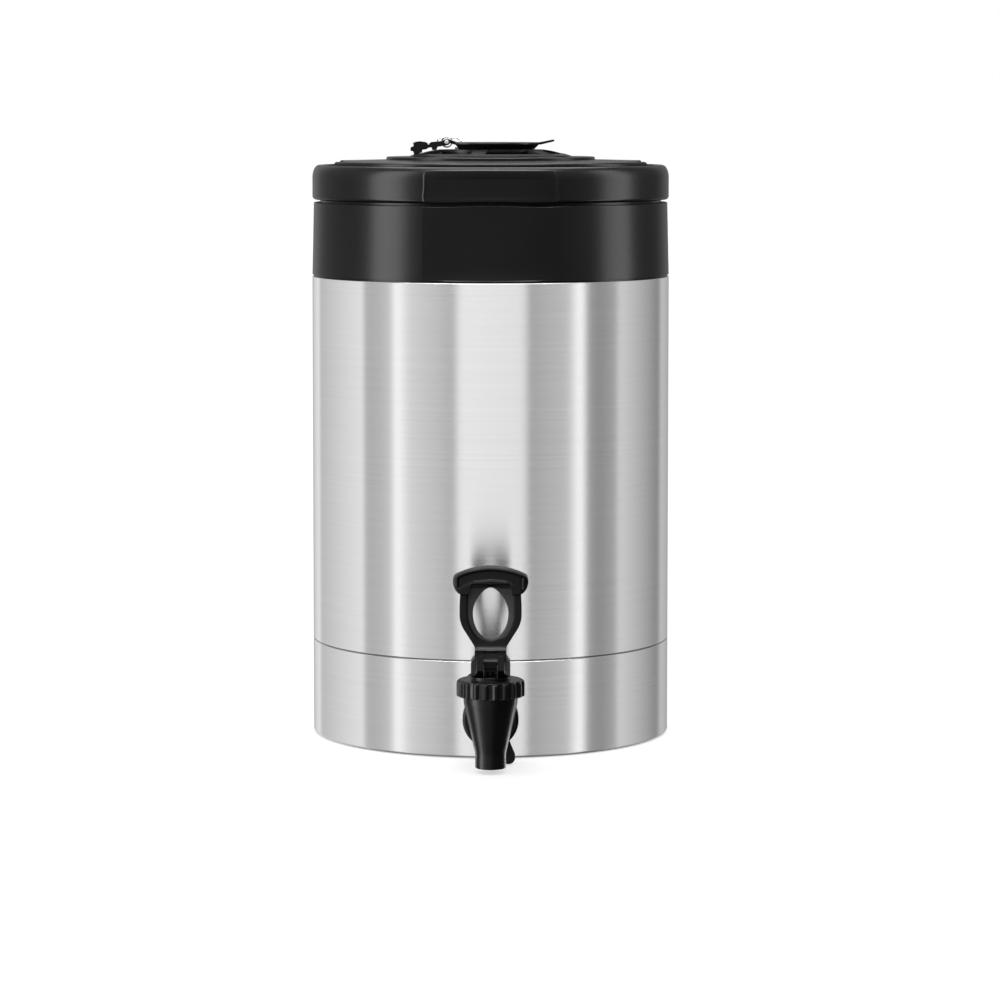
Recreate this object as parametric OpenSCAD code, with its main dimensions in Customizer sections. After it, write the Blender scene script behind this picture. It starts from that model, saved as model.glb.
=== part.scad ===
// Insulated coffee urn: steel shell, lift-off lid with a sprung pour-in cap, self-closing tap.
// The origin is the centre of the face it stands on, +Z is up and the tap points to -Y.
// All sizes are in millimetres.

/* [Shell and base] */
// Outside diameter of the steel shell
body_d = 204; // [190:1:230]
// Thickness of the outer steel sheet
shell_wall = 0.8; // [0.6:0.1:1.2]
// Height of the joint between base cup and shell
seam_z = 54; // [50:1:80]
// Width of the groove at that joint
seam_gap = 0.6; // [0.4:0.1:1]
// Height of the joint between shell and collar
shell_top_z = 261.5; // [230:0.5:320]
// Height of the steel's lower edge above the table
base_lift = 1; // [0.8:0.1:1.5]
// Radius rolled on that lower edge
base_round = 2.2; // [1.6:0.1:3]
// Width of the flange turned in under the base cup
base_flange = 10; // [8:0.5:12]
// Height of the sleeves that centre one sheet in the next
sleeve_h = 8; // [6:0.5:12]
// Thickness of the plastic bottom plate
plate_t = 3; // [2.6:0.1:4]
// Width of the rubber foot ring
foot_w = 6; // [4:0.5:8]
// Depth of the groove that holds the foot ring
foot_groove = 1.2; // [0.8:0.1:1.4]

/* [Liner] */
// Width of the insulated space between shell and inner vessel
jacket_w = 13; // [11:0.5:18]
// Thickness of its sheet
liner_wall = 0.8; // [0.6:0.1:1.2]
// Height of the underside of its floor
liner_floor_z = 11.2; // [11:0.1:12]
// Inside corner radius at its floor
liner_corner = 3; // [2:0.5:3.5]
// Width of the flange that hangs it from the collar
liner_flange = 8; // [6:0.5:8.5]
// Radius on which the base screws stand
stud_ring_r = 55; // [45:1:70]
// Diameter of the studs welded under its floor
stud_d = 10; // [8:0.5:12]
// Diameter of the base screws
base_screw_d = 4; // [3:0.5:5]

/* [Collar] */
// Height of the plastic collar
collar_h = 42.5; // [36:0.5:60]
// How much the collar's radius shrinks towards its top
collar_taper = 1; // [0:0.1:1.5]
// Thickness of its wall
collar_wall = 3; // [2.4:0.1:3.2]
// Depth of the liner's seat below its top
seat_drop = 7.4; // [6:0.1:9]
// Thickness of that seat
seat_t = 4; // [3:0.5:6]
// Thickness of the seal under the liner's flange
seal_t = 1; // [0.6:0.1:1.4]

/* [Lid] */
// How far the lid rim stands in from the shell's outside
lid_inset = 0.2; // [0:0.1:1]
// Width of the rim, up to the groove beside the crown
rim_w = 6.8; // [6.5:0.1:9]
// Gap between collar and lid
lid_gap = 1.6; // [1.2:0.1:2.4]
// Height of the lid rim
rim_h = 19.6; // [17:0.1:26]
// Wall thickness of the lid mouldings
lid_wall = 2.4; // [2:0.1:3]
// Radius of the rim's upper edge
rim_top_round = 6; // [4:0.5:7]
// Radius of the rim's lower edge
rim_low_round = 4; // [2:0.5:5]
// Rise of the crown's edge above the rim
crown_rise = 2.1; // [1:0.1:4]
// Rise of the crown from its edge to the plateau
crown_slope = 0.9; // [0.3:0.1:2]
// Angle that each grip pocket takes up
pocket_angle = 44; // [30:1:60]
// Width of each grip pocket
pocket_w = 11; // [8:0.5:13]
// Depth of each grip pocket
pocket_depth = 14; // [10:0.5:15]
// Thickness of the lid gasket
gasket_t = 3; // [2:0.1:4]
// Depth of the plug that reaches into the liner
plug_depth = 11.4; // [8:0.2:20]
// Diameter of the lid screws
lid_screw_d = 3; // [2.5:0.1:4]

/* [Pour-in grille and mixing tube] */
// Diameter of the plateau in the middle of the lid
plateau_d = 120; // [110:1:130]
// Height of the plateau above the crown
plateau_h = 2; // [1.2:0.1:4]
// Diameter of the domed grille
dome_d = 92; // [86:1:100]
// Height of the dome over the plateau
dome_h = 3.8; // [3.2:0.1:6]
// Thickness of the dome
dome_wall = 1.4; // [1.2:0.1:2]
// Number of windows round the dome
windows = 6; // [4:1:8]
// Width of the ribs between the windows
rib_w = 8; // [6:0.5:10]
// Angle of the first rib, seen from above
rib_turn = -100; // [-130:1:-70]
// Diameter of the filling hole under the cap
fill_d = 36; // [30:1:40]
// Bore of the mixing tube
tube_bore = 13; // [10:0.5:16]
// Height of the tube's lower end above the liner floor
tube_clear = 12; // [8:1:30]

/* [Flip cap] */
// Diameter of the flip cap
cap_d = 57; // [54:1:60]
// Height of the cap, from the dome's top to its own
cap_h = 3.8; // [3.4:0.1:5]
// Thickness of the cap's plate
cap_plate = 1.2; // [1:0.1:1.6]
// Length of the thumb tab beyond the cap
tab_l = 7.8; // [5:0.2:12]
// Distance from the cap's centre to the hinge pin
hinge_x = 25; // [24:0.2:26]
// Diameter of the hinge pin
hinge_pin_d = 2.4; // [2:0.1:3]
// Wire diameter of the torsion spring
cap_wire = 0.8; // [0.6:0.1:1]
// Number of turns of the torsion spring
cap_turns = 7; // [4:1:8]

/* [Tap] */
// Distance from the shell to the tap's axis
tap_reach = 42; // [40:0.5:50]
// Height of the shank's axis
shank_z = 24.9; // [24.5:0.1:26]
// Thread diameter of the shank
shank_d = 16; // [14:0.5:16]
// Bore of the shank
shank_bore = 9; // [7:0.5:9]
// Diameter of the shank's outer spigot
spigot_d = 20.8; // [19:0.2:22]
// Length of that spigot
spigot_l = 10; // [8:0.5:14]
// Height of the nozzle's lip
nozzle_z = 2.8; // [2.4:0.1:4]
// Outside diameter of the nozzle's lip
nozzle_d = 16.8; // [16:0.2:18]
// Bore of the nozzle
nozzle_bore = 11; // [9:0.5:12]
// Outside diameter under the bonnet
throat_d = 29.4; // [28:0.2:31]
// Height of the valve seat
valve_seat_z = 18.5; // [17:0.1:19.5]
// Bore of the valve chamber
chamber_d = 16.4; // [15:0.2:17]
// Height of the bonnet's lower edge
bonnet_z = 42; // [40:0.5:43]
// Height of the bonnet's ribbed ring
bonnet_h = 9; // [8:0.5:12]
// Diameter of the bonnet over its ribs
bonnet_d = 37; // [36:0.5:42]
// Number of ribs round the bonnet
bonnet_ribs = 20; // [12:1:30]
// Diameter of the boss on the bonnet
boss_d = 21.2; // [20:0.2:24]
// Height of that boss
boss_h = 2; // [1.5:0.1:3]
// Hub diameter of the wing nut
wing_hub_d = 30.6; // [28:0.2:32]
// Distance from the wing nut's axis to the end of a wing
wing_r = 26; // [23:0.2:26]
// Thickness of a wing
wing_t = 6; // [5:0.2:7]
// Depth of a wing from front to back
wing_deep = 7; // [5:0.5:9]
// Length of the wing nut
wing_nut_l = 12.4; // [11:0.2:15]
// Angle of the wing below the horizontal
wing_angle = 65; // [50:1:70]

/* [Tap handle and valve] */
// Diameter of the valve stem
stem_d = 7; // [6:0.2:8]
// Height of the handle pin above the bonnet boss
pin_rise = 7; // [6.4:0.1:8]
// Diameter of the handle pin
handle_pin_d = 3; // [2.4:0.1:3.4]
// Width of the slot between the handle's legs
slot_w = 7.5; // [7:0.1:8.5]
// Lift of the stem for each radian of handle angle
cam_lift = 5.73; // [4:0.01:6]
// Largest handle angle
handle_angle = 50; // [30:1:55]
// Width of the handle's neck
neck_w = 15.1; // [14:0.1:17]
// Width of the handle's ring
ring_w = 32.7; // [30:0.1:38]
// Height of the neck's crease above the handle pin
neck_rise = 7.1; // [6:0.1:10]
// Height of the ring, from the neck to the paddle
ring_h = 32; // [30:0.5:38]
// Depth of the ring from front to back
ring_t = 8; // [6:0.5:10]
// Width of the finger hole
finger_w = 19.1; // [16:0.1:20]
// Height of the finger hole
finger_h = 27.3; // [22:0.1:28]
// Width of the paddle
paddle_w = 40.5; // [36:0.5:50]
// Height of the paddle
paddle_h = 12.9; // [11:0.1:18]
// Depth of the paddle
paddle_t = 13; // [10:0.5:16]
// Wire diameter of the valve spring
valve_wire = 1; // [0.8:0.1:1.2]

/* [Hidden] */
$fn = 96;

// Clearances
fit = 0.05;       // between sleeved sheets, and a pin or shaft in its bore
slip = 0.3;       // between loosely nested pieces
play = 0.15;      // end float of a moving piece
eps = 0.01;       // overshoot of a cut

// Levels and radii of the body
body_r = body_d / 2;
shell_in_r = body_r - shell_wall;
sleeve_out_r = shell_in_r - fit;
plate_z = base_lift + shell_wall;
plate_top_z = plate_z + plate_t;
flange_in_r = body_r - base_flange;
plate_r = shell_in_r - base_round + shell_wall - slip / 2;
foot_out_r = flange_in_r - 2;
liner_r = body_r - jacket_w;
liner_in_r = liner_r - liner_wall;
floor_z = liner_floor_z + liner_wall;
weld_z = floor_z + liner_corner;
collar_top_z = shell_top_z + collar_h;
collar_top_r = body_r - collar_taper;
collar_in_r = collar_top_r - collar_wall;
seat_z = collar_top_z - seat_drop;
liner_rim_z = seat_z + seal_t + liner_wall;
liner_flange_r = min(liner_r + liner_flange, collar_in_r - slip);
foam_out_r = sleeve_out_r - shell_wall - slip;
foam_in_r = liner_r + slip / 2;
foam_low_z = plate_top_z + slip / 2;
foam_top_z = shell_top_z - sleeve_h - 2;

// Levels and radii of the lid
lid_z = collar_top_z + lid_gap;
lid_r = body_r - lid_inset;
rim_top_z = lid_z + rim_h;
rim_flange_z = lid_z + lid_wall;
crown_r = lid_r - rim_w;
crown_edge_z = rim_top_z + crown_rise;
crown_top_z = crown_edge_z + crown_slope;
gasket_z = liner_rim_z;
lid_flange_z = gasket_z + gasket_t;
lid_flange_r = collar_in_r - 2 * slip;
gasket_out_r = liner_flange_r - slip;
plug_r = liner_in_r - 2 * slip;
plug_z = lid_flange_z - plug_depth;
groove_gap = 0.5;
plateau_r = plateau_d / 2;
plateau_z = crown_top_z + plateau_h;
dome_r = dome_d / 2;
dome_lip = 0.9;
dome_top_z = plateau_z + dome_h;
fill_r = fill_d / 2;
window_in_r = fill_r + 12;
window_out_r = dome_r - 4;
funnel_top_r = dome_r - 5;
funnel_low_z = plug_z + 4;
tube_r = tube_bore / 2 + 1;
tube_low_z = floor_z + tube_clear;
lid_floor_t = 2.4;
screw_grip = 8;
screw_boss_h = 14;
screw_boss_r = lid_screw_d / 2 + 1.6;
lid_screw_r = crown_r - lid_wall - screw_boss_r + 0.8;
pocket_in_r = crown_r - pocket_w;
pocket_z = crown_edge_z - pocket_depth;

// Flip cap and its hinge
cap_r = cap_d / 2;
cap_low_z = dome_top_z + 0.2;
cap_top_z = dome_top_z + cap_h + 0.2;
knuckle_r = hinge_pin_d / 2 + 1.3;
hinge_z = cap_top_z + 0.2;
cap_chord_x = -hinge_x + knuckle_r + cap_wire + 1.3;
coil_r = hinge_pin_d / 2 + cap_wire / 2 + 1.3;
coil_pitch = cap_wire * 1.12;
coil_half = coil_pitch * cap_turns / 2;
knuckle_y = coil_half + 0.4;
knuckle_w = 2.6;
ear_y = knuckle_y + knuckle_w + slip;
ear_w = 2.4;
foot_x = -dome_r + 4;
bracket_screw_x = foot_x;
bracket_screw_y = 5.5;

// Tap: places along its two axes
tap_y = -body_r - tap_reach;
shank_seal_t = 2.5;
shank_flange_t = 3;
washer_t = 1.5;
tail_flange_t = 2;
nut_lip_t = 2.2;
seal_y = -body_r - shank_seal_t;
shank_flange_y = seal_y - shank_flange_t;
spigot_end_y = shank_flange_y - spigot_l;
washer_end_y = spigot_end_y - washer_t;
tail_end_y = washer_end_y - tail_flange_t;
nut_front_y = tail_end_y - nut_lip_t;
nut_back_y = nut_front_y + wing_nut_l;
spigot_r = spigot_d / 2;
tail_r = 7.5;
shank_r = shank_d / 2;
lock_nut_r = 11.5;
inner_seal_y = -liner_in_r + shank_seal_t;
lock_nut_w = 5.5;
shank_stub = 3;
shank_in_y = inner_seal_y + lock_nut_w + shank_stub;
nozzle_r = nozzle_d / 2;
throat_r = throat_d / 2;
chamber_r = chamber_d / 2;
bonnet_r = bonnet_d / 2;
bonnet_top_z = bonnet_z + bonnet_h;
bonnet_plate = 2;
boss_top_z = bonnet_top_z + boss_h;
diaphragm_t = 1;
diaphragm_z = bonnet_top_z - bonnet_plate - diaphragm_t;
neck_r = throat_r + 0.7;
rib_deep = 1.1;
stem_r = stem_d / 2;
stem_collar_z = valve_seat_z + 8.5;
stem_collar_t = 2;
stem_low_z = valve_seat_z + 3;
spring_low_z = stem_collar_z + stem_collar_t;
spring_top_z = diaphragm_z;
spring_r = chamber_r - valve_wire / 2 - 1.2;
spring_turns = 6;

// Handle, measured from its pin
handle_z = boss_top_z + pin_rise;
cam_drop = pin_rise - play;
leg_w = (neck_w - slot_w) / 2;
cheek_w = 3;
heel_back = 7;
crease_z = handle_z + neck_rise;
ring_top_z = crease_z + ring_h;
finger_z = crease_z + 19.9;
finger_low = 0.502 * finger_h;
paddle_arch = 4.6;
bridge_front = cam_lift + 5;

// Points along an arc about (x, z), from one angle to another
function arc(x, z, r, a0, a1, n = 10) =
    [for (i = [0:n]) let (a = a0 + (a1 - a0) * i / n) [x + r * cos(a), z + r * sin(a)]];

// A point of the handle's cam. The cam is the involute of a circle of radius cam_lift, so the
// stem rises in proportion to the angle at which the cam stands on the flat boss.
function cam_point(a) = let (p = cam_drop + cam_lift * a * PI / 180)
    [-cam_lift * cos(a) - p * sin(a), cam_lift * sin(a) - p * cos(a)];

// Half the width of the handle between neck and paddle, for a share t of that height
function ring_half(t) = ring_w / 2 - (ring_w - neck_w) / 2 * pow(1 - min(1, t / 0.72), 1.7);

// Height of the paddle's arched top at a distance x from its middle
function paddle_top(x) = ring_top_z + paddle_h - paddle_arch * pow(2 * x / paddle_w, 2);

// A cylinder along -Y from y0 to y1, on the shank's axis
module along_y(y0, y1, r) {
    translate([0, y0, shank_z])
        rotate([90, 0, 0])
            cylinder(h = y0 - y1, r = r);
}

// A cylinder along Y about a point (x, z), centred on y
module cross_pin(x, z, r, w, y = 0) {
    translate([x, y, z])
        rotate([90, 0, 0])
            cylinder(h = w, r = r, center = true);
}

// A flat ring
module ring(z, h, r_out, r_in) {
    translate([0, 0, z])
        difference() {
            cylinder(h = h, r = r_out);
            translate([0, 0, -eps])
                cylinder(h = h + 2 * eps, r = r_in);
        }
}

// A wedge of the full height, centred on one direction
module wedge(direction, angle, reach) {
    rotate([0, 0, direction - angle / 2])
        linear_extrude(height = 2 * shell_top_z)
            polygon([[0, 0], for (i = [0:6]) reach * [cos(angle * i / 6), sin(angle * i / 6)]]);
}

// ---- Body ----

module base_cup() {
    in_round = base_round - shell_wall;
    color("silver")
        difference() {
            rotate_extrude()
                polygon([
                    [flange_in_r, base_lift],
                    each arc(body_r - base_round, base_lift + base_round, base_round, -90, 0),
                    [body_r, seam_z - 0.6],
                    [body_r - 0.3, seam_z - seam_gap / 2],
                    [sleeve_out_r, seam_z - seam_gap / 2],
                    [sleeve_out_r, seam_z + sleeve_h],
                    [sleeve_out_r - shell_wall, seam_z + sleeve_h],
                    [sleeve_out_r - shell_wall, seam_z - sleeve_h],
                    [shell_in_r, seam_z - sleeve_h],
                    each arc(shell_in_r - in_round, plate_z + in_round, in_round, 0, -90),
                    [flange_in_r, plate_z],
                ]);
            along_y(0, -2 * body_r, shank_r + slip);
        }
}

module outer_shell() {
    low = seam_z + seam_gap / 2;
    color("silver")
        rotate_extrude()
            polygon([
                [shell_in_r, low],
                [body_r - 0.3, low],
                [body_r, low + 0.3],
                [body_r, shell_top_z - 0.3],
                [body_r - 0.3, shell_top_z],
                [shell_in_r, shell_top_z],
            ]);
}

module base_screw_places() {
    for (i = [0:3])
        rotate([0, 0, 45 + 90 * i])
            translate([stud_ring_r, 0, 0])
                children();
}

module bottom_plate() {
    color("#1b1b1c")
        difference() {
            translate([0, 0, plate_z])
                cylinder(h = plate_t, r = plate_r);
            ring(plate_z - eps, foot_groove + eps, foot_out_r, foot_out_r - foot_w);
            base_screw_places() {
                translate([0, 0, plate_z - eps])
                    cylinder(h = 1.5, r = base_screw_d);
                translate([0, 0, plate_z - eps])
                    cylinder(h = plate_t + 1, r = base_screw_d / 2 + fit);
            }
        }
}

module foot_ring() {
    color("#141414")
        ring(0, plate_z + foot_groove, foot_out_r - fit, foot_out_r - foot_w + fit);
}

module base_screws() {
    head_z = plate_z + 0.2;
    color("gray")
        base_screw_places() {
            translate([0, 0, head_z])
                cylinder(h = 1.3 - eps, r = base_screw_d - 0.2);
            translate([0, 0, head_z])
                cylinder(h = liner_floor_z - head_z - 1.2, r = base_screw_d / 2);
        }
}

module liner_floor() {
    c = liner_corner;
    color("lightgray")
        difference() {
            union() {
                rotate_extrude()
                    polygon([
                        [0, liner_floor_z],
                        each arc(liner_in_r - c, weld_z, c + liner_wall, -90, 0),
                        each arc(liner_in_r - c, weld_z, c, 0, -90),
                        [0, floor_z],
                    ]);
                base_screw_places()
                    translate([0, 0, plate_top_z])
                        cylinder(h = liner_floor_z - plate_top_z + eps, r = stud_d / 2);
            }
            base_screw_places()
                translate([0, 0, plate_top_z - eps])
                    cylinder(h = liner_floor_z - plate_top_z - 0.8, r = base_screw_d / 2 + fit);
        }
}

module liner() {
    color("lightgray")
        difference() {
            rotate_extrude()
                polygon([
                    [liner_in_r, weld_z],
                    [liner_r, weld_z],
                    [liner_r, liner_rim_z - liner_wall],
                    [liner_flange_r, liner_rim_z - liner_wall],
                    [liner_flange_r, liner_rim_z],
                    [liner_in_r, liner_rim_z],
                ]);
            along_y(0, -2 * body_r, shank_r + fit);
        }
}

module insulation() {
    color("#d8c9a0")
        difference() {
            translate([0, 0, foam_low_z])
                cylinder(h = foam_top_z - foam_low_z, r = foam_out_r);
            translate([0, 0, liner_floor_z - slip / 2])
                cylinder(h = foam_top_z, r = foam_in_r);
            base_screw_places()
                cylinder(h = liner_floor_z, r = stud_d / 2 + slip);
            along_y(0, -2 * body_r, shank_r + 2 * slip);
        }
}

module collar() {
    edge = 1.6;
    color("#1d1d1e")
        rotate_extrude()
            polygon([
                [body_r - 0.3, shell_top_z],
                [body_r, shell_top_z + 0.3],
                each arc(collar_top_r - edge, collar_top_z - edge, edge, 0, 90),
                [collar_in_r, collar_top_z],
                [collar_in_r, seat_z],
                [liner_r + slip, seat_z],
                [liner_r + slip, seat_z - seat_t],
                [collar_in_r, seat_z - seat_t],
                [collar_in_r, shell_top_z - sleeve_h],
                [sleeve_out_r, shell_top_z - sleeve_h],
                [sleeve_out_r, shell_top_z],
            ]);
}

module collar_seal() {
    color("whitesmoke")
        ring(seat_z, seal_t, liner_flange_r - slip, liner_r + slip + 0.5);
}

// ---- Shank through the wall ----

module shank() {
    color("silver")
        difference() {
            union() {
                along_y(shank_in_y, shank_flange_y, shank_r);
                along_y(seal_y, shank_flange_y, spigot_r + 2);
                along_y(shank_flange_y + eps, spigot_end_y, spigot_r);
            }
            along_y(0, -2 * body_r, shank_bore / 2);
        }
}

module shank_outer_seal() {
    color("whitesmoke")
        difference() {
            along_y(-body_r + 2, seal_y, spigot_r + 2.5);
            along_y(0, -2 * body_r, shank_r + fit);
            cylinder(h = seam_z, r = body_r, $fn = 720);
        }
}

module shank_inner_seal() {
    color("whitesmoke")
        difference() {
            intersection() {
                along_y(inner_seal_y, -liner_r, lock_nut_r);
                cylinder(h = 2 * seam_z, r = liner_in_r - play, $fn = 720);
            }
            along_y(0, -2 * body_r, shank_r + fit);
        }
}

module shank_nut() {
    color("silver")
        difference() {
            translate([0, inner_seal_y + lock_nut_w, shank_z])
                rotate([90, 0, 0])
                    cylinder(h = lock_nut_w, r = lock_nut_r, $fn = 6);
            along_y(0, -2 * body_r, shank_r + fit);
        }
}

// ---- Tap ----

module faucet_body() {
    wall_z = valve_seat_z;
    color("#151516")
        difference() {
            union() {
                translate([0, tap_y, 0])
                    rotate_extrude()
                        polygon([
                            [0, nozzle_z],
                            [nozzle_r - 0.3, nozzle_z],
                            [nozzle_r, nozzle_z + 0.4],
                            [nozzle_r - 0.2, nozzle_z + 6],
                            [nozzle_r + 1, nozzle_z + 12],
                            [throat_r - 0.6, bonnet_z - 6],
                            [throat_r, bonnet_z - 2],
                            [throat_r, bonnet_z],
                            [neck_r - 0.4, bonnet_z],
                            [neck_r, bonnet_z + 0.6],
                            [neck_r, diaphragm_z],
                            [0, diaphragm_z],
                        ]);
                along_y(washer_end_y, tap_y, tail_r);
                along_y(washer_end_y, tail_end_y, spigot_r - slip / 2);
            }
            translate([0, tap_y, nozzle_z - eps])
                cylinder(h = bonnet_top_z, r = nozzle_bore / 2);
            translate([0, tap_y, wall_z])
                cylinder(h = bonnet_top_z, r = chamber_r);
            along_y(0, tap_y, shank_bore / 2);
        }
}

module faucet_washer() {
    color("whitesmoke")
        difference() {
            along_y(spigot_end_y, washer_end_y, spigot_r - slip);
            along_y(0, -2 * body_r, shank_bore / 2 + slip);
        }
}

module stem_diaphragm() {
    color("whitesmoke")
        translate([0, tap_y, 0])
            ring(diaphragm_z, diaphragm_t, neck_r - slip, stem_r + fit);
}

module valve_spring() {
    rise = (spring_top_z - spring_low_z - valve_wire) / (spring_turns - 1);
    color("silver")
        translate([0, tap_y, spring_low_z + valve_wire / 2]) {
            for (i = [0:spring_turns - 1])
                translate([0, 0, rise * i])
                    rotate_extrude()
                        translate([spring_r, 0])
                            circle(r = valve_wire / 2, $fn = 16);
            for (side = [0, 180])
                rotate([0, 0, side])
                    translate([spring_r, 0, 0])
                        cylinder(h = rise * (spring_turns - 1), r = valve_wire / 4, $fn = 16);
        }
}

module bonnet() {
    core_r = bonnet_r - rib_deep;
    color("#131314")
        translate([0, tap_y, 0])
            difference() {
                union() {
                    rotate_extrude()
                        polygon([
                            [0, bonnet_z + play],
                            [core_r - 0.8, bonnet_z + play],
                            [core_r, bonnet_z + 1],
                            [core_r, bonnet_top_z - 1.6],
                            [core_r - 1.6, bonnet_top_z],
                            [boss_d / 2, bonnet_top_z],
                            [boss_d / 2, boss_top_z],
                            [0, boss_top_z],
                        ]);
                    intersection() {
                        for (i = [0:bonnet_ribs - 1])
                            rotate([0, 0, 360 / bonnet_ribs * (i + 0.5)])
                                translate([core_r - 1, -1.9, bonnet_z + play])
                                    cube([rib_deep + 1, 3.8, bonnet_h - play]);
                        rotate_extrude()
                            polygon([
                                [0, bonnet_z + play],
                                [bonnet_r - 1, bonnet_z + play],
                                [bonnet_r, bonnet_z + 1.2],
                                [bonnet_r, bonnet_top_z - 2.2],
                                [bonnet_r - 2, bonnet_top_z - 0.3],
                                [0, bonnet_top_z],
                            ]);
                    }
                }
                translate([0, 0, bonnet_z - eps])
                    cylinder(h = bonnet_h - bonnet_plate + eps, r = neck_r + 2 * fit);
                translate([0, 0, bonnet_z])
                    cylinder(h = bonnet_h + boss_h + 1, r = stem_r + fit);
            }
}

module wing_nut() {
    color("#131314")
        difference() {
            union() {
                along_y(nut_back_y, nut_front_y, wing_hub_d / 2);
                for (side = [0, 180])
                    translate([0, (nut_front_y + nut_back_y) / 2, shank_z])
                        rotate([0, wing_angle + side, 0])
                            rotate([90, 0, 0])
                                linear_extrude(height = wing_deep, center = true)
                                    difference() {
                                        union() {
                                            translate([0, -wing_t / 2])
                                                square([wing_r - wing_t / 2, wing_t]);
                                            translate([wing_r - wing_t / 2, 0])
                                                circle(r = wing_t / 2);
                                        }
                                        circle(r = wing_hub_d / 2 - 1);
                                    }
            }
            along_y(nut_back_y + 1, tail_end_y - play, spigot_r + fit);
            along_y(nut_back_y + 1, nut_front_y - 1, tail_r + slip);
        }
}

module stem() {
    tang_w = slot_w - 2 * slip;
    head_r = handle_pin_d / 2 + 3;
    color("#161617")
        translate([0, tap_y, 0])
            difference() {
                union() {
                    translate([0, 0, stem_low_z])
                        cylinder(h = handle_z - stem_low_z - head_r, r = stem_r);
                    translate([0, 0, stem_collar_z])
                        cylinder(h = stem_collar_t, r = spring_r + valve_wire / 2);
                    intersection() {
                        translate([0, 0, handle_z])
                            rotate([0, 90, 0])
                                cylinder(h = tang_w, r = head_r, center = true);
                        translate([-tang_w / 2, -stem_r, 0])
                            cube([tang_w, 2 * stem_r, 2 * handle_z]);
                    }
                    translate([-tang_w / 2, -stem_r + 0.6, boss_top_z + slip])
                        cube([tang_w, 2 * stem_r - 1.2, pin_rise - slip]);
                }
                translate([0, 0, handle_z])
                    rotate([0, 90, 0])
                        cylinder(h = 4 * slot_w, r = handle_pin_d / 2 + fit, center = true);
            }
}

module seat_cup() {
    cup_r = chamber_r - 0.8;
    color("whitesmoke")
        translate([0, tap_y, 0])
            difference() {
                translate([0, 0, valve_seat_z])
                    cylinder(h = stem_collar_z - valve_seat_z, r = cup_r);
                translate([0, 0, stem_low_z])
                    cylinder(h = stem_collar_z, r = stem_r);
            }
}

module handle_legs() {
    wide = neck_w / 2 + cheek_w;
    intersection() {
        translate([0, tap_y, 0])
            rotate([90, 0, 0])
                linear_extrude(height = 2 * paddle_w, center = true)
                    polygon([
                        [-wide, 0],
                        [wide, 0],
                        [wide, handle_z - pin_rise + 4],
                        [neck_w / 2, handle_z + 2.6],
                        [neck_w / 2, crease_z],
                        [-neck_w / 2, crease_z],
                        [-neck_w / 2, handle_z + 2.6],
                        [-wide, handle_z - pin_rise + 4],
                    ]);
        translate([-wide, tap_y, handle_z])
            rotate([90, 0, 90])
                linear_extrude(height = 2 * wide)
                    polygon([
                        [heel_back, -cam_drop + 1],
                        [heel_back - 1, -cam_drop],
                        for (i = [0:12]) cam_point((handle_angle + 4) * i / 12),
                        [-bridge_front, 4.6],
                        [-ring_t / 2 - 1.4, neck_rise],
                        [ring_t / 2, neck_rise],
                        [heel_back, 2],
                    ]);
    }
}

module handle_ring() {
    translate([0, tap_y + ring_t / 2, 0])
        rotate([90, 0, 0])
            linear_extrude(height = ring_t)
                difference() {
                    polygon([
                        for (i = [0:16]) [ring_half(i / 16), crease_z + ring_h * i / 16],
                        [ring_w / 2 - 1, ring_top_z + 4],
                        [-ring_w / 2 + 1, ring_top_z + 4],
                        for (i = [16:-1:0]) [-ring_half(i / 16), crease_z + ring_h * i / 16],
                    ]);
                    polygon([
                        for (i = [0:47]) let (
                            a = 360 * i / 48,
                            up = finger_h - finger_low
                        ) [
                            finger_w / 2 * cos(a) * (1 - 0.10 * max(0, sin(a))),
                            finger_z + (sin(a) > 0 ? up : finger_low) * sin(a),
                        ],
                    ]);
                }
}

module handle_paddle() {
    half = paddle_w / 2;
    end_r = 3;
    corner = 55;
    low = ring_top_z + 0.6;
    translate([0, tap_y + paddle_t / 2, 0])
        rotate([90, 0, 0])
            linear_extrude(height = paddle_t)
                polygon([
                    for (i = [-8:8]) let (x = (half - end_r) * i / 8) [x, paddle_top(x)],
                    each arc(half - end_r, paddle_top(half) - end_r / 2, end_r, corner, 0, 4),
                    [half - 2.6, low + 1.2],
                    [half - 5, low - 1],
                    [finger_w / 2 - 1, low + 2.6],
                    [-finger_w / 2 + 1, low + 2.6],
                    [-half + 5, low - 1],
                    [-half + 2.6, low + 1.2],
                    each arc(-half + end_r, paddle_top(half) - end_r / 2, end_r, 180, 180 - corner, 4),
                ]);
}

module handle() {
    slot_top = handle_z + 0.8;
    color("#121213")
        difference() {
            union() {
                handle_legs();
                handle_ring();
                handle_paddle();
            }
            translate([-slot_w / 2, tap_y - paddle_w, 0])
                cube([slot_w, 2 * paddle_w, slot_top]);
            translate([-slot_w / 2, tap_y - stem_r - 2.2, 0])
                cube([slot_w, paddle_w, handle_z + handle_pin_d / 2 + 3.6]);
            translate([0, tap_y, handle_z])
                rotate([0, 90, 0])
                    cylinder(h = 4 * neck_w, r = handle_pin_d / 2, center = true);
        }
}

module handle_pin() {
    color("silver")
        translate([0, tap_y, handle_z])
            rotate([0, 90, 0])
                cylinder(h = neck_w, r = handle_pin_d / 2, center = true);
}

// ---- Lid ----

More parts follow.
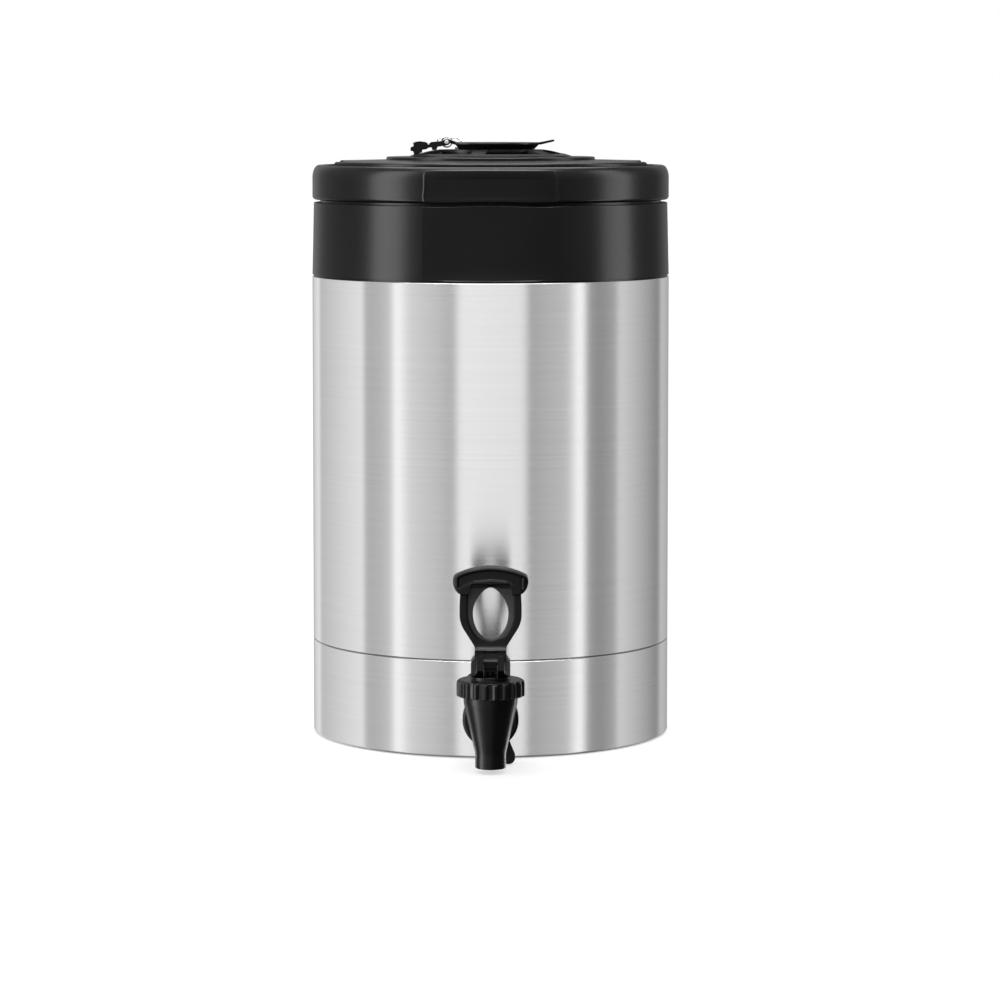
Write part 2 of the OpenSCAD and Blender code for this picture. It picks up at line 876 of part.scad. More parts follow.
module lid_rim() {
    lip_z = rim_top_z - 3.2;
    color("#1d1d1e")
        difference() {
            rotate_extrude()
                polygon([
                    [plug_r - 2, lid_z],
                    each arc(lid_r - rim_low_round, lid_z + rim_low_round, rim_low_round, -90, 0),
                    each arc(lid_r - rim_top_round, rim_top_z - rim_top_round, rim_top_round, 0, 90),
                    [crown_r + groove_gap, rim_top_z - 0.6],
                    [crown_r + groove_gap, lip_z],
                    [lid_r - rim_top_round, lip_z + 0.8],
                    [lid_r - lid_wall, lip_z - 3],
                    [lid_r - lid_wall, rim_flange_z + 2],
                    [lid_r - lid_wall - 2, rim_flange_z],
                    [plug_r - 2, rim_flange_z],
                ]);
            lid_screw_holes();
        }
}

module lid_screw_places() {
    for (i = [0:5])
        rotate([0, 0, 30 + 60 * i])
            translate([lid_screw_r, 0, 0])
                children();
}

module lid_screw_holes() {
    lid_screw_places()
        translate([0, 0, gasket_z])
            cylinder(h = crown_top_z - gasket_z, r = lid_screw_d / 2 + fit);
}

module pocket_wedges(extra) {
    wedge(0, pocket_angle + extra, 2 * lid_r);
    wedge(180, pocket_angle + extra, 2 * lid_r);
}

module lid_crown() {
    top_t = lid_wall;
    skirt_r = crown_r - lid_wall;
    color("#1d1d1e")
        difference() {
            union() {
                difference() {
                    rotate_extrude()
                        polygon([
                            [skirt_r, rim_flange_z],
                            [crown_r, rim_flange_z],
                            each arc(crown_r - 1.5, crown_edge_z - 1.5, 1.5, 0, 90, 6),
                            [plateau_r, crown_top_z],
                            [plateau_r - 4, crown_top_z],
                            [plateau_r - 4, crown_top_z - top_t],
                            [skirt_r, crown_edge_z - top_t],
                        ]);
                    intersection() {
                        ring(pocket_z + 2, 2 * pocket_depth, 2 * crown_r, pocket_in_r);
                        pocket_wedges(0);
                    }
                }
                intersection() {
                    difference() {
                        union() {
                            ring(pocket_z, 2, crown_r - eps, pocket_in_r - 2);
                            ring(pocket_z, pocket_depth, crown_r - 1.5, pocket_in_r - 2);
                        }
                        intersection() {
                            ring(pocket_z + 2, 2 * pocket_depth, 2 * crown_r, pocket_in_r);
                            pocket_wedges(0);
                        }
                    }
                    pocket_wedges(3);
                }
                lid_screw_places()
                    translate([0, 0, rim_flange_z])
                        cylinder(h = screw_boss_h, r = screw_boss_r);
            }
            lid_screw_places()
                translate([0, 0, rim_flange_z - eps])
                    cylinder(h = screw_grip + 1, r = lid_screw_d / 2 + fit);
        }
}

module lid_base() {
    color("#1d1d1e")
        difference() {
            rotate_extrude()
                polygon([
                    [tube_r + 2 + slip, plug_z],
                    [plug_r - 1.5, plug_z],
                    [plug_r, plug_z + 1.5],
                    [plug_r, lid_flange_z],
                    [lid_flange_r, lid_flange_z],
                    [lid_flange_r, lid_z],
                    [plug_r - 3, lid_z],
                    [plug_r - 3, plug_z + lid_floor_t],
                    [tube_r + 2 + slip, plug_z + lid_floor_t],
                ]);
            lid_screw_places() {
                translate([0, 0, plug_z])
                    cylinder(h = crown_top_z - plug_z, r = lid_screw_d / 2 + fit);
                translate([0, 0, lid_flange_z - eps])
                    cylinder(h = 1.8, r = lid_screw_d);
            }
        }
}

module lid_gasket() {
    color("whitesmoke")
        ring(gasket_z, gasket_t, gasket_out_r, liner_in_r + 1);
}

module lid_foam() {
    low_z = plug_z + lid_floor_t + slip;
    color("#d8c9a0")
        ring(low_z, pocket_z - 1 - low_z, min(pocket_in_r - 2, plug_r - 3) - slip, funnel_top_r + 4);
}

module lid_screws() {
    color("gray")
        lid_screw_places() {
            translate([0, 0, lid_flange_z + 0.2])
                cylinder(h = 1.6 - eps, r = lid_screw_d - 0.2);
            translate([0, 0, lid_flange_z + 0.2])
                cylinder(h = rim_flange_z - lid_flange_z + screw_grip, r = lid_screw_d / 2);
        }
}

module brew_plate() {
    rim = 2;
    hole_r = dome_r - 2;
    color("#1d1d1e")
        rotate_extrude()
            polygon([
                [hole_r, crown_top_z - lid_wall],
                [plateau_r - 4 - slip, crown_top_z - lid_wall],
                [plateau_r - 4 - slip, crown_top_z],
                [plateau_r - 0.4, crown_top_z],
                each arc(plateau_r - 0.4 - rim, crown_top_z, rim, 20, 90, 6),
                [hole_r, plateau_z],
            ]);
}

// Height of the dome's outside at a radius r: a low arch that flattens over the filling hole
function dome_z(r) = plateau_z + dome_lip
    + (dome_h - dome_lip) * (1 - pow(max(0, r - window_in_r) / (dome_r - window_in_r), 2));

module brew_grille() {
    steps = 10;
    span = dome_r - window_in_r;
    color("#232324")
        difference() {
            rotate_extrude()
                polygon([
                    [dome_r, plateau_z],
                    [dome_r, plateau_z + dome_lip],
                    for (i = [1:steps]) let (r = dome_r - span * i / steps) [r, dome_z(r)],
                    [fill_r, dome_top_z],
                    [fill_r, dome_top_z - dome_wall],
                    for (i = [steps:-1:2]) let (r = dome_r - span * i / steps)
                        [r, dome_z(r) - dome_wall],
                    [dome_r - 3, plateau_z],
                ]);
            difference() {
                ring(plateau_z - 1, dome_h + 2, window_out_r, window_in_r);
                for (i = [0:windows - 1])
                    rotate([0, 0, rib_turn + 360 / windows * i])
                        translate([0, -rib_w / 2, 0])
                            cube([2 * dome_r, rib_w, 2 * plateau_z]);
            }
            bracket_screw_places()
                cylinder(h = 2 * plateau_z, r = 1.2 + fit);
        }
}

module brew_funnel() {
    t = 1.2;
    lip_z = crown_top_z - lid_wall;
    color("#1d1d1e")
        rotate_extrude()
            polygon([
                [tube_r + fit, funnel_low_z - 6],
                [tube_r + 2, funnel_low_z - 6],
                [tube_r + 2, funnel_low_z],
                [funnel_top_r + 1, lip_z - 2],
                [plateau_r - 6, lip_z - 2],
                [plateau_r - 6, lip_z],
                [funnel_top_r, lip_z],
                [tube_r - 1, funnel_low_z + t],
                [tube_r - 1, funnel_low_z],
                [tube_r + fit, funnel_low_z],
            ]);
}

module mixing_tube() {
    color("#1d1d1e")
        ring(tube_low_z, funnel_low_z - tube_low_z, tube_r, tube_bore / 2);
}

// ---- Hinge and flip cap ----

module bracket_screw_places() {
    for (side = [-1, 1])
        translate([bracket_screw_x, side * bracket_screw_y, 0])
            children();
}

module bracket_outline() {
    low = hinge_z - 3.5;
    polygon([
        each arc(-hinge_x, hinge_z, knuckle_r, 90, -60, 8),
        [-hinge_x - 9.4, low],
        [-hinge_x - 10.5, low + 0.4],
        [-hinge_x - 13, dome_z(hinge_x + 13) + 0.3],
        [foot_x + 3, dome_z(-foot_x - 3) + 0.2],
        [foot_x - 3.5, dome_z(-foot_x + 3.5) + 0.2],
        [foot_x - 3.5, dome_z(-foot_x + 3.5) + 1.9],
        [foot_x - 2, hinge_z - 0.6],
        [foot_x + 2.4, hinge_z - 0.3],
        [foot_x + 3.6, hinge_z - 1.4],
        [-hinge_x - 11, hinge_z - 1.2],
        [-hinge_x - 9.4, hinge_z + 0.1],
    ]);
}

module hinge_bracket() {
    half = ear_y + ear_w;
    gap = ear_y;
    color("#161617")
        difference() {
            rotate([90, 0, 0])
                linear_extrude(height = 2 * half, center = true)
                    bracket_outline();
            translate([-hinge_x - knuckle_r - 1, -gap, 0])
                cube([4 * knuckle_r, 2 * gap, 2 * hinge_z]);
            cross_pin(-hinge_x, hinge_z, hinge_pin_d / 2, 4 * half);
            bracket_screw_places() {
                cylinder(h = 2 * hinge_z, r = 1.2 + fit);
                translate([0, 0, hinge_z - 1.4])
                    cylinder(h = 10, r = 2.6);
            }
        }
}

module bracket_screws() {
    color("silver")
        bracket_screw_places() {
            translate([0, 0, hinge_z - 1.4])
                cylinder(h = 1.2, r = 2.4);
            translate([0, 0, dome_top_z - dome_wall - 4])
                cylinder(h = hinge_z - dome_top_z + dome_wall + 2.8, r = 1.2);
        }
}

module hinge_pin() {
    half = ear_y + ear_w;
    color("silver")
        union() {
            cross_pin(-hinge_x, hinge_z, hinge_pin_d / 2, 2 * half);
            for (side = [-1, 1])
                cross_pin(-hinge_x, hinge_z, hinge_pin_d / 2 + 0.7, 0.6, side * (half + 0.3));
        }
}

module flip_cap() {
    skirt_t = 1.4;
    plate_z0 = cap_top_z - cap_plate;
    color("#161617")
        difference() {
            union() {
                intersection() {
                    union() {
                        translate([0, 0, plate_z0])
                            cylinder(h = cap_plate, r = cap_r);
                        ring(cap_low_z, plate_z0 - cap_low_z, cap_r - 1.2, cap_r - 1.2 - skirt_t);
                        ring(cap_low_z + 1, plate_z0 - cap_low_z - 1, fill_r + 3, fill_r - 1);
                    }
                    translate([cap_chord_x, -cap_r, 0])
                        cube([2 * cap_r, 2 * cap_r, 2 * cap_top_z]);
                }
                rotate([90, 0, 0])
                    linear_extrude(height = 13, center = true)
                        polygon([
                            [cap_r - 3, plate_z0],
                            [cap_r, plate_z0],
                            [cap_r + tab_l - 1, cap_top_z + 0.6],
                            [cap_r + tab_l, cap_top_z + 1],
                            [cap_r + tab_l - 0.4, cap_top_z + 1.5],
                            [cap_r - 1, cap_top_z],
                            [cap_r - 3, cap_top_z],
                        ]);
                for (side = [-1, 1])
                    translate([0, side * (knuckle_y + knuckle_w / 2), 0])
                        rotate([90, 0, 0])
                            linear_extrude(height = knuckle_w, center = true)
                                union() {
                                    translate([-hinge_x, hinge_z])
                                        circle(r = knuckle_r);
                                    polygon([
                                        [-hinge_x, hinge_z + knuckle_r],
                                        [-hinge_x, hinge_z - 1.6],
                                        [cap_chord_x, plate_z0],
                                        [cap_chord_x + 3, plate_z0],
                                        [cap_chord_x + 3, cap_top_z],
                                        [cap_chord_x + 1, cap_top_z],
                                    ]);
                                }
            }
            cross_pin(-hinge_x, hinge_z, hinge_pin_d / 2 + fit, 4 * ear_y);
        }
}

module cap_seal() {
    color("whitesmoke")
        intersection() {
            ring(cap_low_z, 1, fill_r + 3, fill_r);
            translate([cap_chord_x, -cap_r, 0])
                cube([2 * cap_r, 2 * cap_r, 2 * cap_top_z]);
        }
}

module cap_spring() {
    color("silver")
        union() {
            for (i = [0:cap_turns - 1])
                translate([-hinge_x, (i - (cap_turns - 1) / 2) * coil_pitch, hinge_z])
                    rotate([90, 0, 0])
                        rotate_extrude()
                            translate([coil_r, 0])
                                circle(r = cap_wire / 2, $fn = 16);
            cross_pin(-hinge_x + coil_r, hinge_z, cap_wire / 4, (cap_turns - 1) * coil_pitch);
            translate([-hinge_x, 0, hinge_z + coil_r])
                rotate([0, 90 + 16, 0])
                    cylinder(h = 9.5, r = cap_wire * 0.45, $fn = 16);
        }
}

base_cup();
outer_shell();
bottom_plate();
foot_ring();
base_screws();
liner_floor();
liner();
insulation();
collar();
collar_seal();
shank();
shank_outer_seal();
shank_inner_seal();
shank_nut();
faucet_body();
faucet_washer();
stem_diaphragm();
valve_spring();
bonnet();
wing_nut();
stem();
seat_cup();
handle();
handle_pin();
lid_rim();
lid_crown();
lid_base();
lid_gasket();
lid_foam();
lid_screws();
brew_plate();
brew_grille();
brew_funnel();
mixing_tube();
hinge_bracket();
bracket_screws();
hinge_pin();
flip_cap();
cap_seal();
cap_spring();
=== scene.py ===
"""Looks of the insulated coffee urn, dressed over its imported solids.

The frame is in metres, Z up, the urn stands on z = 0 and its tap points to -Y. Shapes are worked out
in millimetres, as whole arrays, and scaled once when a mesh is made.
"""

import math

import bpy
import numpy as np
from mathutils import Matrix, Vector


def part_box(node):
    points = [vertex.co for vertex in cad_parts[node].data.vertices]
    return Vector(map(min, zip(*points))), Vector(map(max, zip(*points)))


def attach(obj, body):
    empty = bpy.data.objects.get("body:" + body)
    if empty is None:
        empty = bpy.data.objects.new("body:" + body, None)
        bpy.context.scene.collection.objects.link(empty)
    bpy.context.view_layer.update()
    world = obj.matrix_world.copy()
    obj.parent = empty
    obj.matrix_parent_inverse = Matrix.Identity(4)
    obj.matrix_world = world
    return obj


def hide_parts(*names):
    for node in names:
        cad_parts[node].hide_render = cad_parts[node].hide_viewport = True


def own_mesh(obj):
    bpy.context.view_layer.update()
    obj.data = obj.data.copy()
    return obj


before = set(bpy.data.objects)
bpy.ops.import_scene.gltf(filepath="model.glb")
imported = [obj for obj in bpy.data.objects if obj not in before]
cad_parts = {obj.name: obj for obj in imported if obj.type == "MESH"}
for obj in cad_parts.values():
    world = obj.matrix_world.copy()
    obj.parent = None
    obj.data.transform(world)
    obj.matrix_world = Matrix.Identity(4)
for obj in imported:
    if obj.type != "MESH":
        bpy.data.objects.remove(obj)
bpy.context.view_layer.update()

MM = 0.001
TURN = 2 * np.pi
X, Y, Z = 0, 1, 2


def extent(node, axis):
    """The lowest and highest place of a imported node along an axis, in millimetres."""
    return np.array(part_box(node))[:, axis] / MM


# ---- Sizes, in millimetres ----

body_r = extent("outer_shell", X)[1]
base_lift = extent("base_cup", Z)[0] - 0.6
sleeve_top = extent("base_cup", Z)[1]
shell_low, shell_top = extent("outer_shell", Z) + [0.4, 0.45]
sheet = 0.8
collar_top = extent("collar", Z)[1]
collar_r = body_r - 1
collar_in_r = collar_r - 3
seat = collar_top - 7.4
liner_in_r = body_r - 13 - sheet
liner_rim = extent("liner", Z)[1]
floor_z = 12.0
lid_r = extent("lid_rim", X)[1]
lid_z, rim_top = extent("lid_rim", Z)
crown_r = extent("lid_crown", X)[1]
crown_edge, crown_top = rim_top + 2.1, extent("lid_crown", Z)[1]
plug_z = extent("lid_base", Z)[0]
plateau_r, plateau = extent("brew_plate", X)[1] + 0.4, extent("brew_plate", Z)[1]
dome_r, dome_top = extent("brew_grille", X)[1], extent("brew_grille", Z)[1]
cap_r, cap_top = extent("flip_cap", Y)[1], dome_top + 4.0
pin_x, pin_z = extent("hinge_pin", X)[0] + 1.9, extent("hinge_pin", Z)[1] - 1.9
tap_y = sum(extent("bonnet", Y)) / 2
shank_z = sum(extent("shank", Z)) / 2
bonnet_z, boss_top = extent("bonnet", Z)
handle_pin_z = sum(extent("handle_pin", Z)) / 2
crease_z = handle_pin_z + 7.1
plug_r = liner_in_r - 0.6
washer_front = extent("faucet_washer", Y)[0]


# ---- Surfaces ----


def joined(*parts):
    """Points from their coordinates, each spread to the same shape."""
    return np.stack(np.broadcast_arrays(*parts), -1)


def unit(x):
    """A value held between 0 and 1."""
    return np.clip(x, 0, 1)


def smooth(x):
    """A value held between 0 and 1 and eased at both ends: s s (3 - 2 s)."""
    s = unit(x)
    return s * s * (3 - 2 * s)


def circle(x, z, reach, start, end, count):
    """Points about (x, z) between two angles in degrees, on a circle or an ellipse of two reaches."""
    t = np.radians(np.linspace(start, end, count))
    rx, rz = np.broadcast_to(reach, 2)
    return joined(x + rx * np.cos(t), z + rz * np.sin(t))


def fillet(corners, step=12.0, ring=False):
    """A profile from corners (x, z, radius): each corner is replaced by an arc tangent to its two sides,
    centred on the bisector at radius / sin(half the corner's angle), in steps of at most `step` degrees."""
    c = np.array([(a, b) for a, b, _ in corners], float)
    out = []
    for k, (x, z, radius) in enumerate(corners):
        before, here, after = c[k - 1], c[k], c[(k + 1) % len(c)]
        if radius <= 0 or (not ring and k in (0, len(c) - 1)):
            out.append(here[None])
            continue
        u, v = before - here, after - here
        lu, lv = np.hypot(*u), np.hypot(*v)
        u, v = u / lu, v / lv
        half = math.acos(float(np.clip(u @ v, -1, 1))) / 2
        if half > math.pi / 2 - 0.01:
            out.append(here[None])
            continue
        reach = min(radius / math.tan(half), 0.499 * lu, 0.499 * lv)
        r = reach * math.tan(half)
        centre = here + (u + v) / np.hypot(*(u + v)) * r / math.sin(half)
        a0 = math.atan2(*(here + u * reach - centre)[::-1])
        sweep = math.atan2(*(here + v * reach - centre)[::-1]) - a0
        sweep = (sweep + math.pi) % TURN - math.pi
        a = a0 + np.linspace(0, sweep, max(2, math.ceil(abs(math.degrees(sweep)) / step)) + 1)
        out.append(centre + r * joined(np.cos(a), np.sin(a)))
    p = np.concatenate(out)
    far = np.hypot(*(p - np.roll(p, 1, 0)).T) > 1e-5
    far[0] = far[0] or not ring
    return p[far]


def web(p, around=True, along=True):
    """The quads of a grid of points p[i, j]: i runs round and j along it, and each closes where told."""
    n, m = p.shape[:2]
    i, j = np.meshgrid(np.arange(n if around else n - 1), np.arange(m if along else m - 1), indexing="ij")
    k, l = (i + 1) % n, (j + 1) % m
    return p.reshape(-1, 3), joined(i * m + j, k * m + j, k * m + l, i * m + l).reshape(-1, 4)


def even(count, *extra):
    """Angles round a turn, evenly spaced, with extra ones where a form changes quickly."""
    a = np.linspace(-np.pi, np.pi, count, endpoint=False)
    return np.unique(np.round(np.concatenate([a, *extra]), 6))


def turned(profile, angles=96, centre=(0.0, 0.0), axis="z", ring=True):
    """A profile of (radius, height) carried round an axis: point = centre + radius (sin a, -cos a) at that
    height, so angle 0 faces the tap. Axis y turns it about the shank instead, with its height along +Y. The
    angles are given, or their number round a whole turn."""
    a = angles if np.ndim(angles) else even(angles)
    r, h = np.asarray(profile, float).T
    x, y = centre[0] + np.sin(a)[:, None] * r, -np.cos(a)[:, None] * r
    return web(joined(x, centre[1] + y, h) if axis == "z" else joined(x, h, centre[1] - y), True, ring)


def capped(rings):
    """A bar from its rings of points, closed by a flat face at each end."""
    n, m = rings.shape[:2]
    return *web(rings, False, True), np.arange(m)[::-1], np.arange((n - 1) * m, n * m)


def prism(outline, stations, axis="y"):
    """A closed outline carried straight along an axis, its two ends closed by flat faces. The outline is
    (x, z) along y or (y, z) along x; a station is its place, or (place, its own outline)."""
    rings = []
    for s in stations:
        place, shape = s if isinstance(s, tuple) else (s, outline)
        u, v = np.asarray(shape, float).T
        rings.append(joined(u, place, v) if axis == "y" else joined(place, u, v))
    return capped(np.stack(rings))


def coil(centre, radius, wire, turns, pitch):
    """A helix about the pin's axis: the wire's middle is centre + radius (cos t, sin t) while it moves on by
    the pitch each turn, and the wire is a circle in the plane across the path."""
    t = np.linspace(-np.pi * turns, np.pi * turns, 24 * turns + 1)
    path = joined(radius * np.cos(t), pitch * t / TURN, radius * np.sin(t)) + np.array(centre)
    return rod(path, np.full(len(path), wire / 2), 10)


def rod(path, radii, sides=16):
    """A round bar along a path. Each ring is radius (cos a, sin a) in a frame that turns with the path."""
    tangent = np.gradient(path, axis=0)
    tangent /= np.linalg.norm(tangent, axis=1)[:, None]
    spare = np.array([0.31, 0.17, 0.93])
    u = np.cross(tangent, spare)
    u /= np.linalg.norm(u, axis=1)[:, None]
    v = np.cross(tangent, u)
    a = np.linspace(0, TURN, sides, endpoint=False)
    across = np.cos(a)[:, None] * u[:, None] + np.sin(a)[:, None] * v[:, None]
    return capped(path[:, None] + radii[:, None, None] * across)


def sheet_solid(top, bottom, quads):
    """Two sheets with the same quads, joined by a wall along every edge that only one quad uses."""
    edges = np.concatenate([quads[:, [0, 1]], quads[:, [1, 2]], quads[:, [2, 3]], quads[:, [3, 0]]])
    key = np.sort(edges, 1)
    _, first, count = np.unique(key, axis=0, return_index=True, return_counts=True)
    rim = edges[first[count == 1]]
    n = len(top)
    walls = joined(rim[:, 1], rim[:, 0], rim[:, 0] + n, rim[:, 1] + n)
    return np.concatenate([top, bottom]), np.concatenate([quads, quads[:, ::-1] + n, walls])


def tidy_shell(points, quads, *caps):
    """Merges the points that coincide, drops the sides that this shortens to nothing, and turns the faces
    outwards, which they are where the sum of their corner volumes is positive. Gives the points and the
    faces, as arrays of quads, of triangles and of the flat caps."""
    keys, where = np.unique(np.round(points, 5), axis=0, return_inverse=True)
    where = where.ravel()
    four = where[quads]
    short = four == np.roll(four, 1, axis=1)
    folded = (four[:, 0] == four[:, 2]) | (four[:, 1] == four[:, 3])
    once = (short.sum(1) == 1) & ~folded
    three = four[once][~short[once]].reshape(-1, 3)
    four = four[(short.sum(1) == 0) & ~folded]
    rims = [r[r != np.roll(r, 1)] for r in (where[c] for c in caps)]
    fans = [joined(r[0], r[1:-1], r[2:]) for r in rims]
    a, b, c = np.moveaxis(keys[np.concatenate([four[:, :3], four[:, [0, 2, 3]], three, *fans])], 1, 0)
    way = 1 if np.einsum("ij,ij->", a, np.cross(b, c)) > 0 else -1
    return keys, [four[:, ::way], three[:, ::way], *[r[None, ::way] for r in rims]]


BEVELLED, SHARP = math.radians(28), math.radians(32)


def placed(name, data):
    """A new object in the scene."""
    obj = bpy.data.objects.new(name, data)
    bpy.context.scene.collection.objects.link(obj)
    return obj


def piece(name, shells, made, body, node=None, bevel=0.0):
    """One object from closed shells given in millimetres, with its finish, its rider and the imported
    node that it replaces. Edges over BEVELLED are bevelled where a width is given; else those over SHARP
    stay hard."""
    points, faces, start = [], [], 0
    for s in shells:
        p, groups = tidy_shell(*s)
        points.append(p * MM)
        for group in groups:
            faces += (group + start).tolist()
        start += len(p)
    mesh = bpy.data.meshes.new(name)
    mesh.from_pydata(np.concatenate(points), [], faces)
    mesh.validate()
    obj = placed(name, mesh)
    mesh.shade_smooth()
    mesh.materials.append(made)
    if bevel:
        m = obj.modifiers.new("soft edges", "BEVEL")
        m.width, m.segments, m.limit_method = bevel * MM, 3, "ANGLE"
        m.angle_limit, m.use_clamp_overlap, m.harden_normals = BEVELLED, True, False
    else:
        mesh.set_sharp_from_angle(angle=SHARP)
    w = obj.modifiers.new("even shading", "WEIGHTED_NORMAL")
    w.keep_sharp, w.weight = True, 60
    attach(obj, body)
    if node:
        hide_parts(node)
    lit_by[made.name].objects.link(obj)
    return obj


# ---- Finishes ----


def feed(tree, node, inputs):
    """Links each input that is given another node's output, and sets each that is given a value."""
    for socket, value in inputs.items():
        if hasattr(value, "is_linked"):
            tree.links.new(value, node.inputs[socket])
        else:
            node.inputs[socket].default_value = value
    return node


def add(tree, kind, inputs=None, **settings):
    """A shader node with its settings and inputs."""
    node = tree.nodes.new("ShaderNode" + kind)
    for name, value in settings.items():
        setattr(node, name, value)
    return feed(tree, node, inputs or {})


def sums(tree, kind, a, b):
    """One sum of two values or outputs."""
    return add(tree, "Math", {0: a, 1: b}, operation=kind).outputs[0]


def spread(tree, value, before, after):
    """A value carried from one range to another."""
    ends = dict(zip(("From Min", "From Max", "To Min", "To Max"), (*before, *after)))
    return add(tree, "MapRange", {"Value": value} | ends).outputs["Result"]


def noise(tree, vector, scale, rough=0.5, stretch=None):
    """Noise on a vector, which may be stretched, between 0 and 1."""
    if stretch:
        vector = add(tree, "Mapping", {"Vector": vector, "Scale": stretch}).outputs["Vector"]
    inputs = {"Vector": vector, "Scale": scale, "Detail": 2.0, "Roughness": rough}
    return add(tree, "TexNoise", inputs).outputs["Fac"]


def pattern(name, inputs, build):
    """A node group that reads Object coordinates and puts out values that change over the surface."""
    group = bpy.data.node_groups.new(name, "ShaderNodeTree")
    for socket, value in inputs:
        s = group.interface.new_socket(socket, in_out="INPUT", socket_type="NodeSocketFloat")
        s.default_value = value
    entry, leave = group.nodes.new("NodeGroupInput"), group.nodes.new("NodeGroupOutput")
    made = build(group, entry.outputs, add(group, "TexCoord").outputs["Object"])
    for label, output in made.items():
        group.interface.new_socket(label, in_out="OUTPUT", socket_type="NodeSocketFloat")
        group.links.new(output, leave.inputs[label])
    return group


def brushing(tree, _, place):
    """Belt-brushed lines that run level round the sheet: noise squeezed many times finer along Z than
    round, 0.6 of a fine width and 0.4 of a coarse one."""
    fine = noise(tree, place, 1.0, 0.6, (14, 14, 5200))
    wide = noise(tree, place, 1.0, 0.5, (5, 5, 900))
    return {"Lines": sums(tree, "ADD", sums(tree, "MULTIPLY", fine, 0.6), sums(tree, "MULTIPLY", wide, 0.4))}


def moulding(tree, scales, place):
    """The fine spark-eroded grain of a moulded face, and the slow waviness of a cooled wall."""
    grain = noise(tree, place, scales["Grain scale"])
    return {"Grain": grain, "Waves": noise(tree, place, scales["Wave scale"])}


def painted_seam_shade(tree, _, place):
    """Painted shade for the steel's seams, multiplied into its colour: 1 on the body's face, falling to 0.1
    in seams and under the rolled edge, by the distance from the urn's axis, from 0.6 to 0.85 mm behind the
    face."""
    flat = add(tree, "VectorMath", {0: place, 1: (1, 1, 0)}, operation="MULTIPLY").outputs["Vector"]
    away = add(tree, "VectorMath", {0: flat}, operation="LENGTH").outputs["Value"]
    return {"Seam shade": spread(tree, away, ((body_r - 0.85) * MM, (body_r - 0.6) * MM), (0.1, 1.0))}


BRUSHING = pattern("Level brushing", [], brushing)
# Painted shade: darkens the steel's colour in its seams and under its rolled edge.
SEAM_SHADE = pattern("Painted seam shade", [], painted_seam_shade)
MOULDING = pattern("Moulded skin", [("Grain scale", 2600.0), ("Wave scale", 14.0)], moulding)
NOISE_ENDS = (0.25, 0.75)


def finish(name, scales, colour, roughness, bump, settings, reach=None, tone="Waves"):
    """A Principled material. Its colour goes between two by its tone, and its roughness between two by the
    grain. Sheet steel has no scales: brushed lines are both, with a tangent round the urn's axis. The others
    have the scales of a moulded grain and waves. `bump` is (strength, distance in mm) of the grain, and
    `reach` is a group of painted shade that darkens the colour in seams."""
    m = bpy.data.materials.new(name)
    m.use_nodes = True
    tree = m.node_tree
    if scales:
        skin = add(tree, "Group", dict(zip(("Grain scale", "Wave scale"), scales)),
            node_tree=MOULDING).outputs
        grain, tone = skin["Grain"], skin[tone]
    else:
        grain = tone = add(tree, "Group", node_tree=BRUSHING).outputs["Lines"]
    ramp = add(tree, "ValToRGB", {"Fac": tone})
    for stop, place, shade in zip(ramp.color_ramp.elements, NOISE_ENDS, colour):
        stop.position, stop.color = place, (*np.broadcast_to(shade, 3), 1)
    tint = ramp.outputs["Color"]
    # Painted shade: the seam group multiplies the colour down to 0.1 in seams and under the rolled edge.
    if reach:
        near = add(tree, "Group", node_tree=reach).outputs["Seam shade"]
        tint = add(tree, "Mix", {0: 1.0, 6: tint, 7: near}, data_type="RGBA",
            blend_type="MULTIPLY").outputs[2]
    relief = add(tree, "Bump", {"Height": grain, "Strength": bump[0], "Distance": bump[1] * MM})
    inputs = {"Base Color": tint, "Roughness": spread(tree, grain, NOISE_ENDS, roughness)}
    inputs["Normal"] = relief.outputs["Normal"]
    if not scales:
        inputs["Tangent"] = add(tree, "Tangent", direction_type="RADIAL", axis="Z").outputs["Tangent"]
    feed(tree, tree.nodes["Principled BSDF"], inputs | settings)
    return m


def shine(level):
    """How strongly a plastic's face mirrors."""
    return {"Specular IOR Level": level}


# Brushed steel, with painted shade in its seams and under its rolled edge.
BRUSHED = finish(
    "Brushed steel", None, (0.775, 0.845), (0.18, 0.23), (1.0, 0.025),
    {"Metallic": 1.0, "Anisotropic": 1.0, "Anisotropic Rotation": 0.25}, SEAM_SHADE,
)
LINER = finish(
    "Drawn steel", None, (0.66, 0.72), (0.30, 0.38), (0.10, 0.02),
    {"Metallic": 1.0, "Anisotropic": 0.6, "Anisotropic Rotation": 0.25},
)
FITTING = finish("Turned steel", (1500, 90), (0.60, 0.68), (0.20, 0.30), (0.06, 0.02), {"Metallic": 1.0})
LID = finish("Black lid plastic", (2600, 16), (0.0018, 0.0026), (0.25, 0.29), (0.05, 0.02), shine(0.05))
TAP = finish("Black tap plastic", (2200, 40), (0.0008, 0.0014), (0.30, 0.36), (0.03, 0.02), shine(0.04))
WEB = finish("Grained tap plastic", (3400, 40), (0.005, 0.008), (0.45, 0.55), (0.10, 0.03), shine(0.11))
PIN = finish("Blackened pin steel", (1500, 90), (0.004, 0.008), (0.35, 0.45), (0.06, 0.02), shine(0.2))
SILICONE = finish(
    "Silicone", (1800, 30), (0.60, 0.68), (0.42, 0.52), (0.06, 0.03),
    {"Subsurface Weight": 0.15, "Subsurface Radius": (0.004, 0.004, 0.004)},
)
FOAM = finish(
    "Insulating foam", (700, 60), ((0.58, 0.50, 0.34), (0.70, 0.62, 0.44)), (0.8, 0.95), (0.5, 0.3), {},
    tone="Grain",
)
RUBBER = finish("Foot rubber", (1600, 50), (0.010, 0.016), (0.6, 0.75), (0.15, 0.05), shine(0.3))

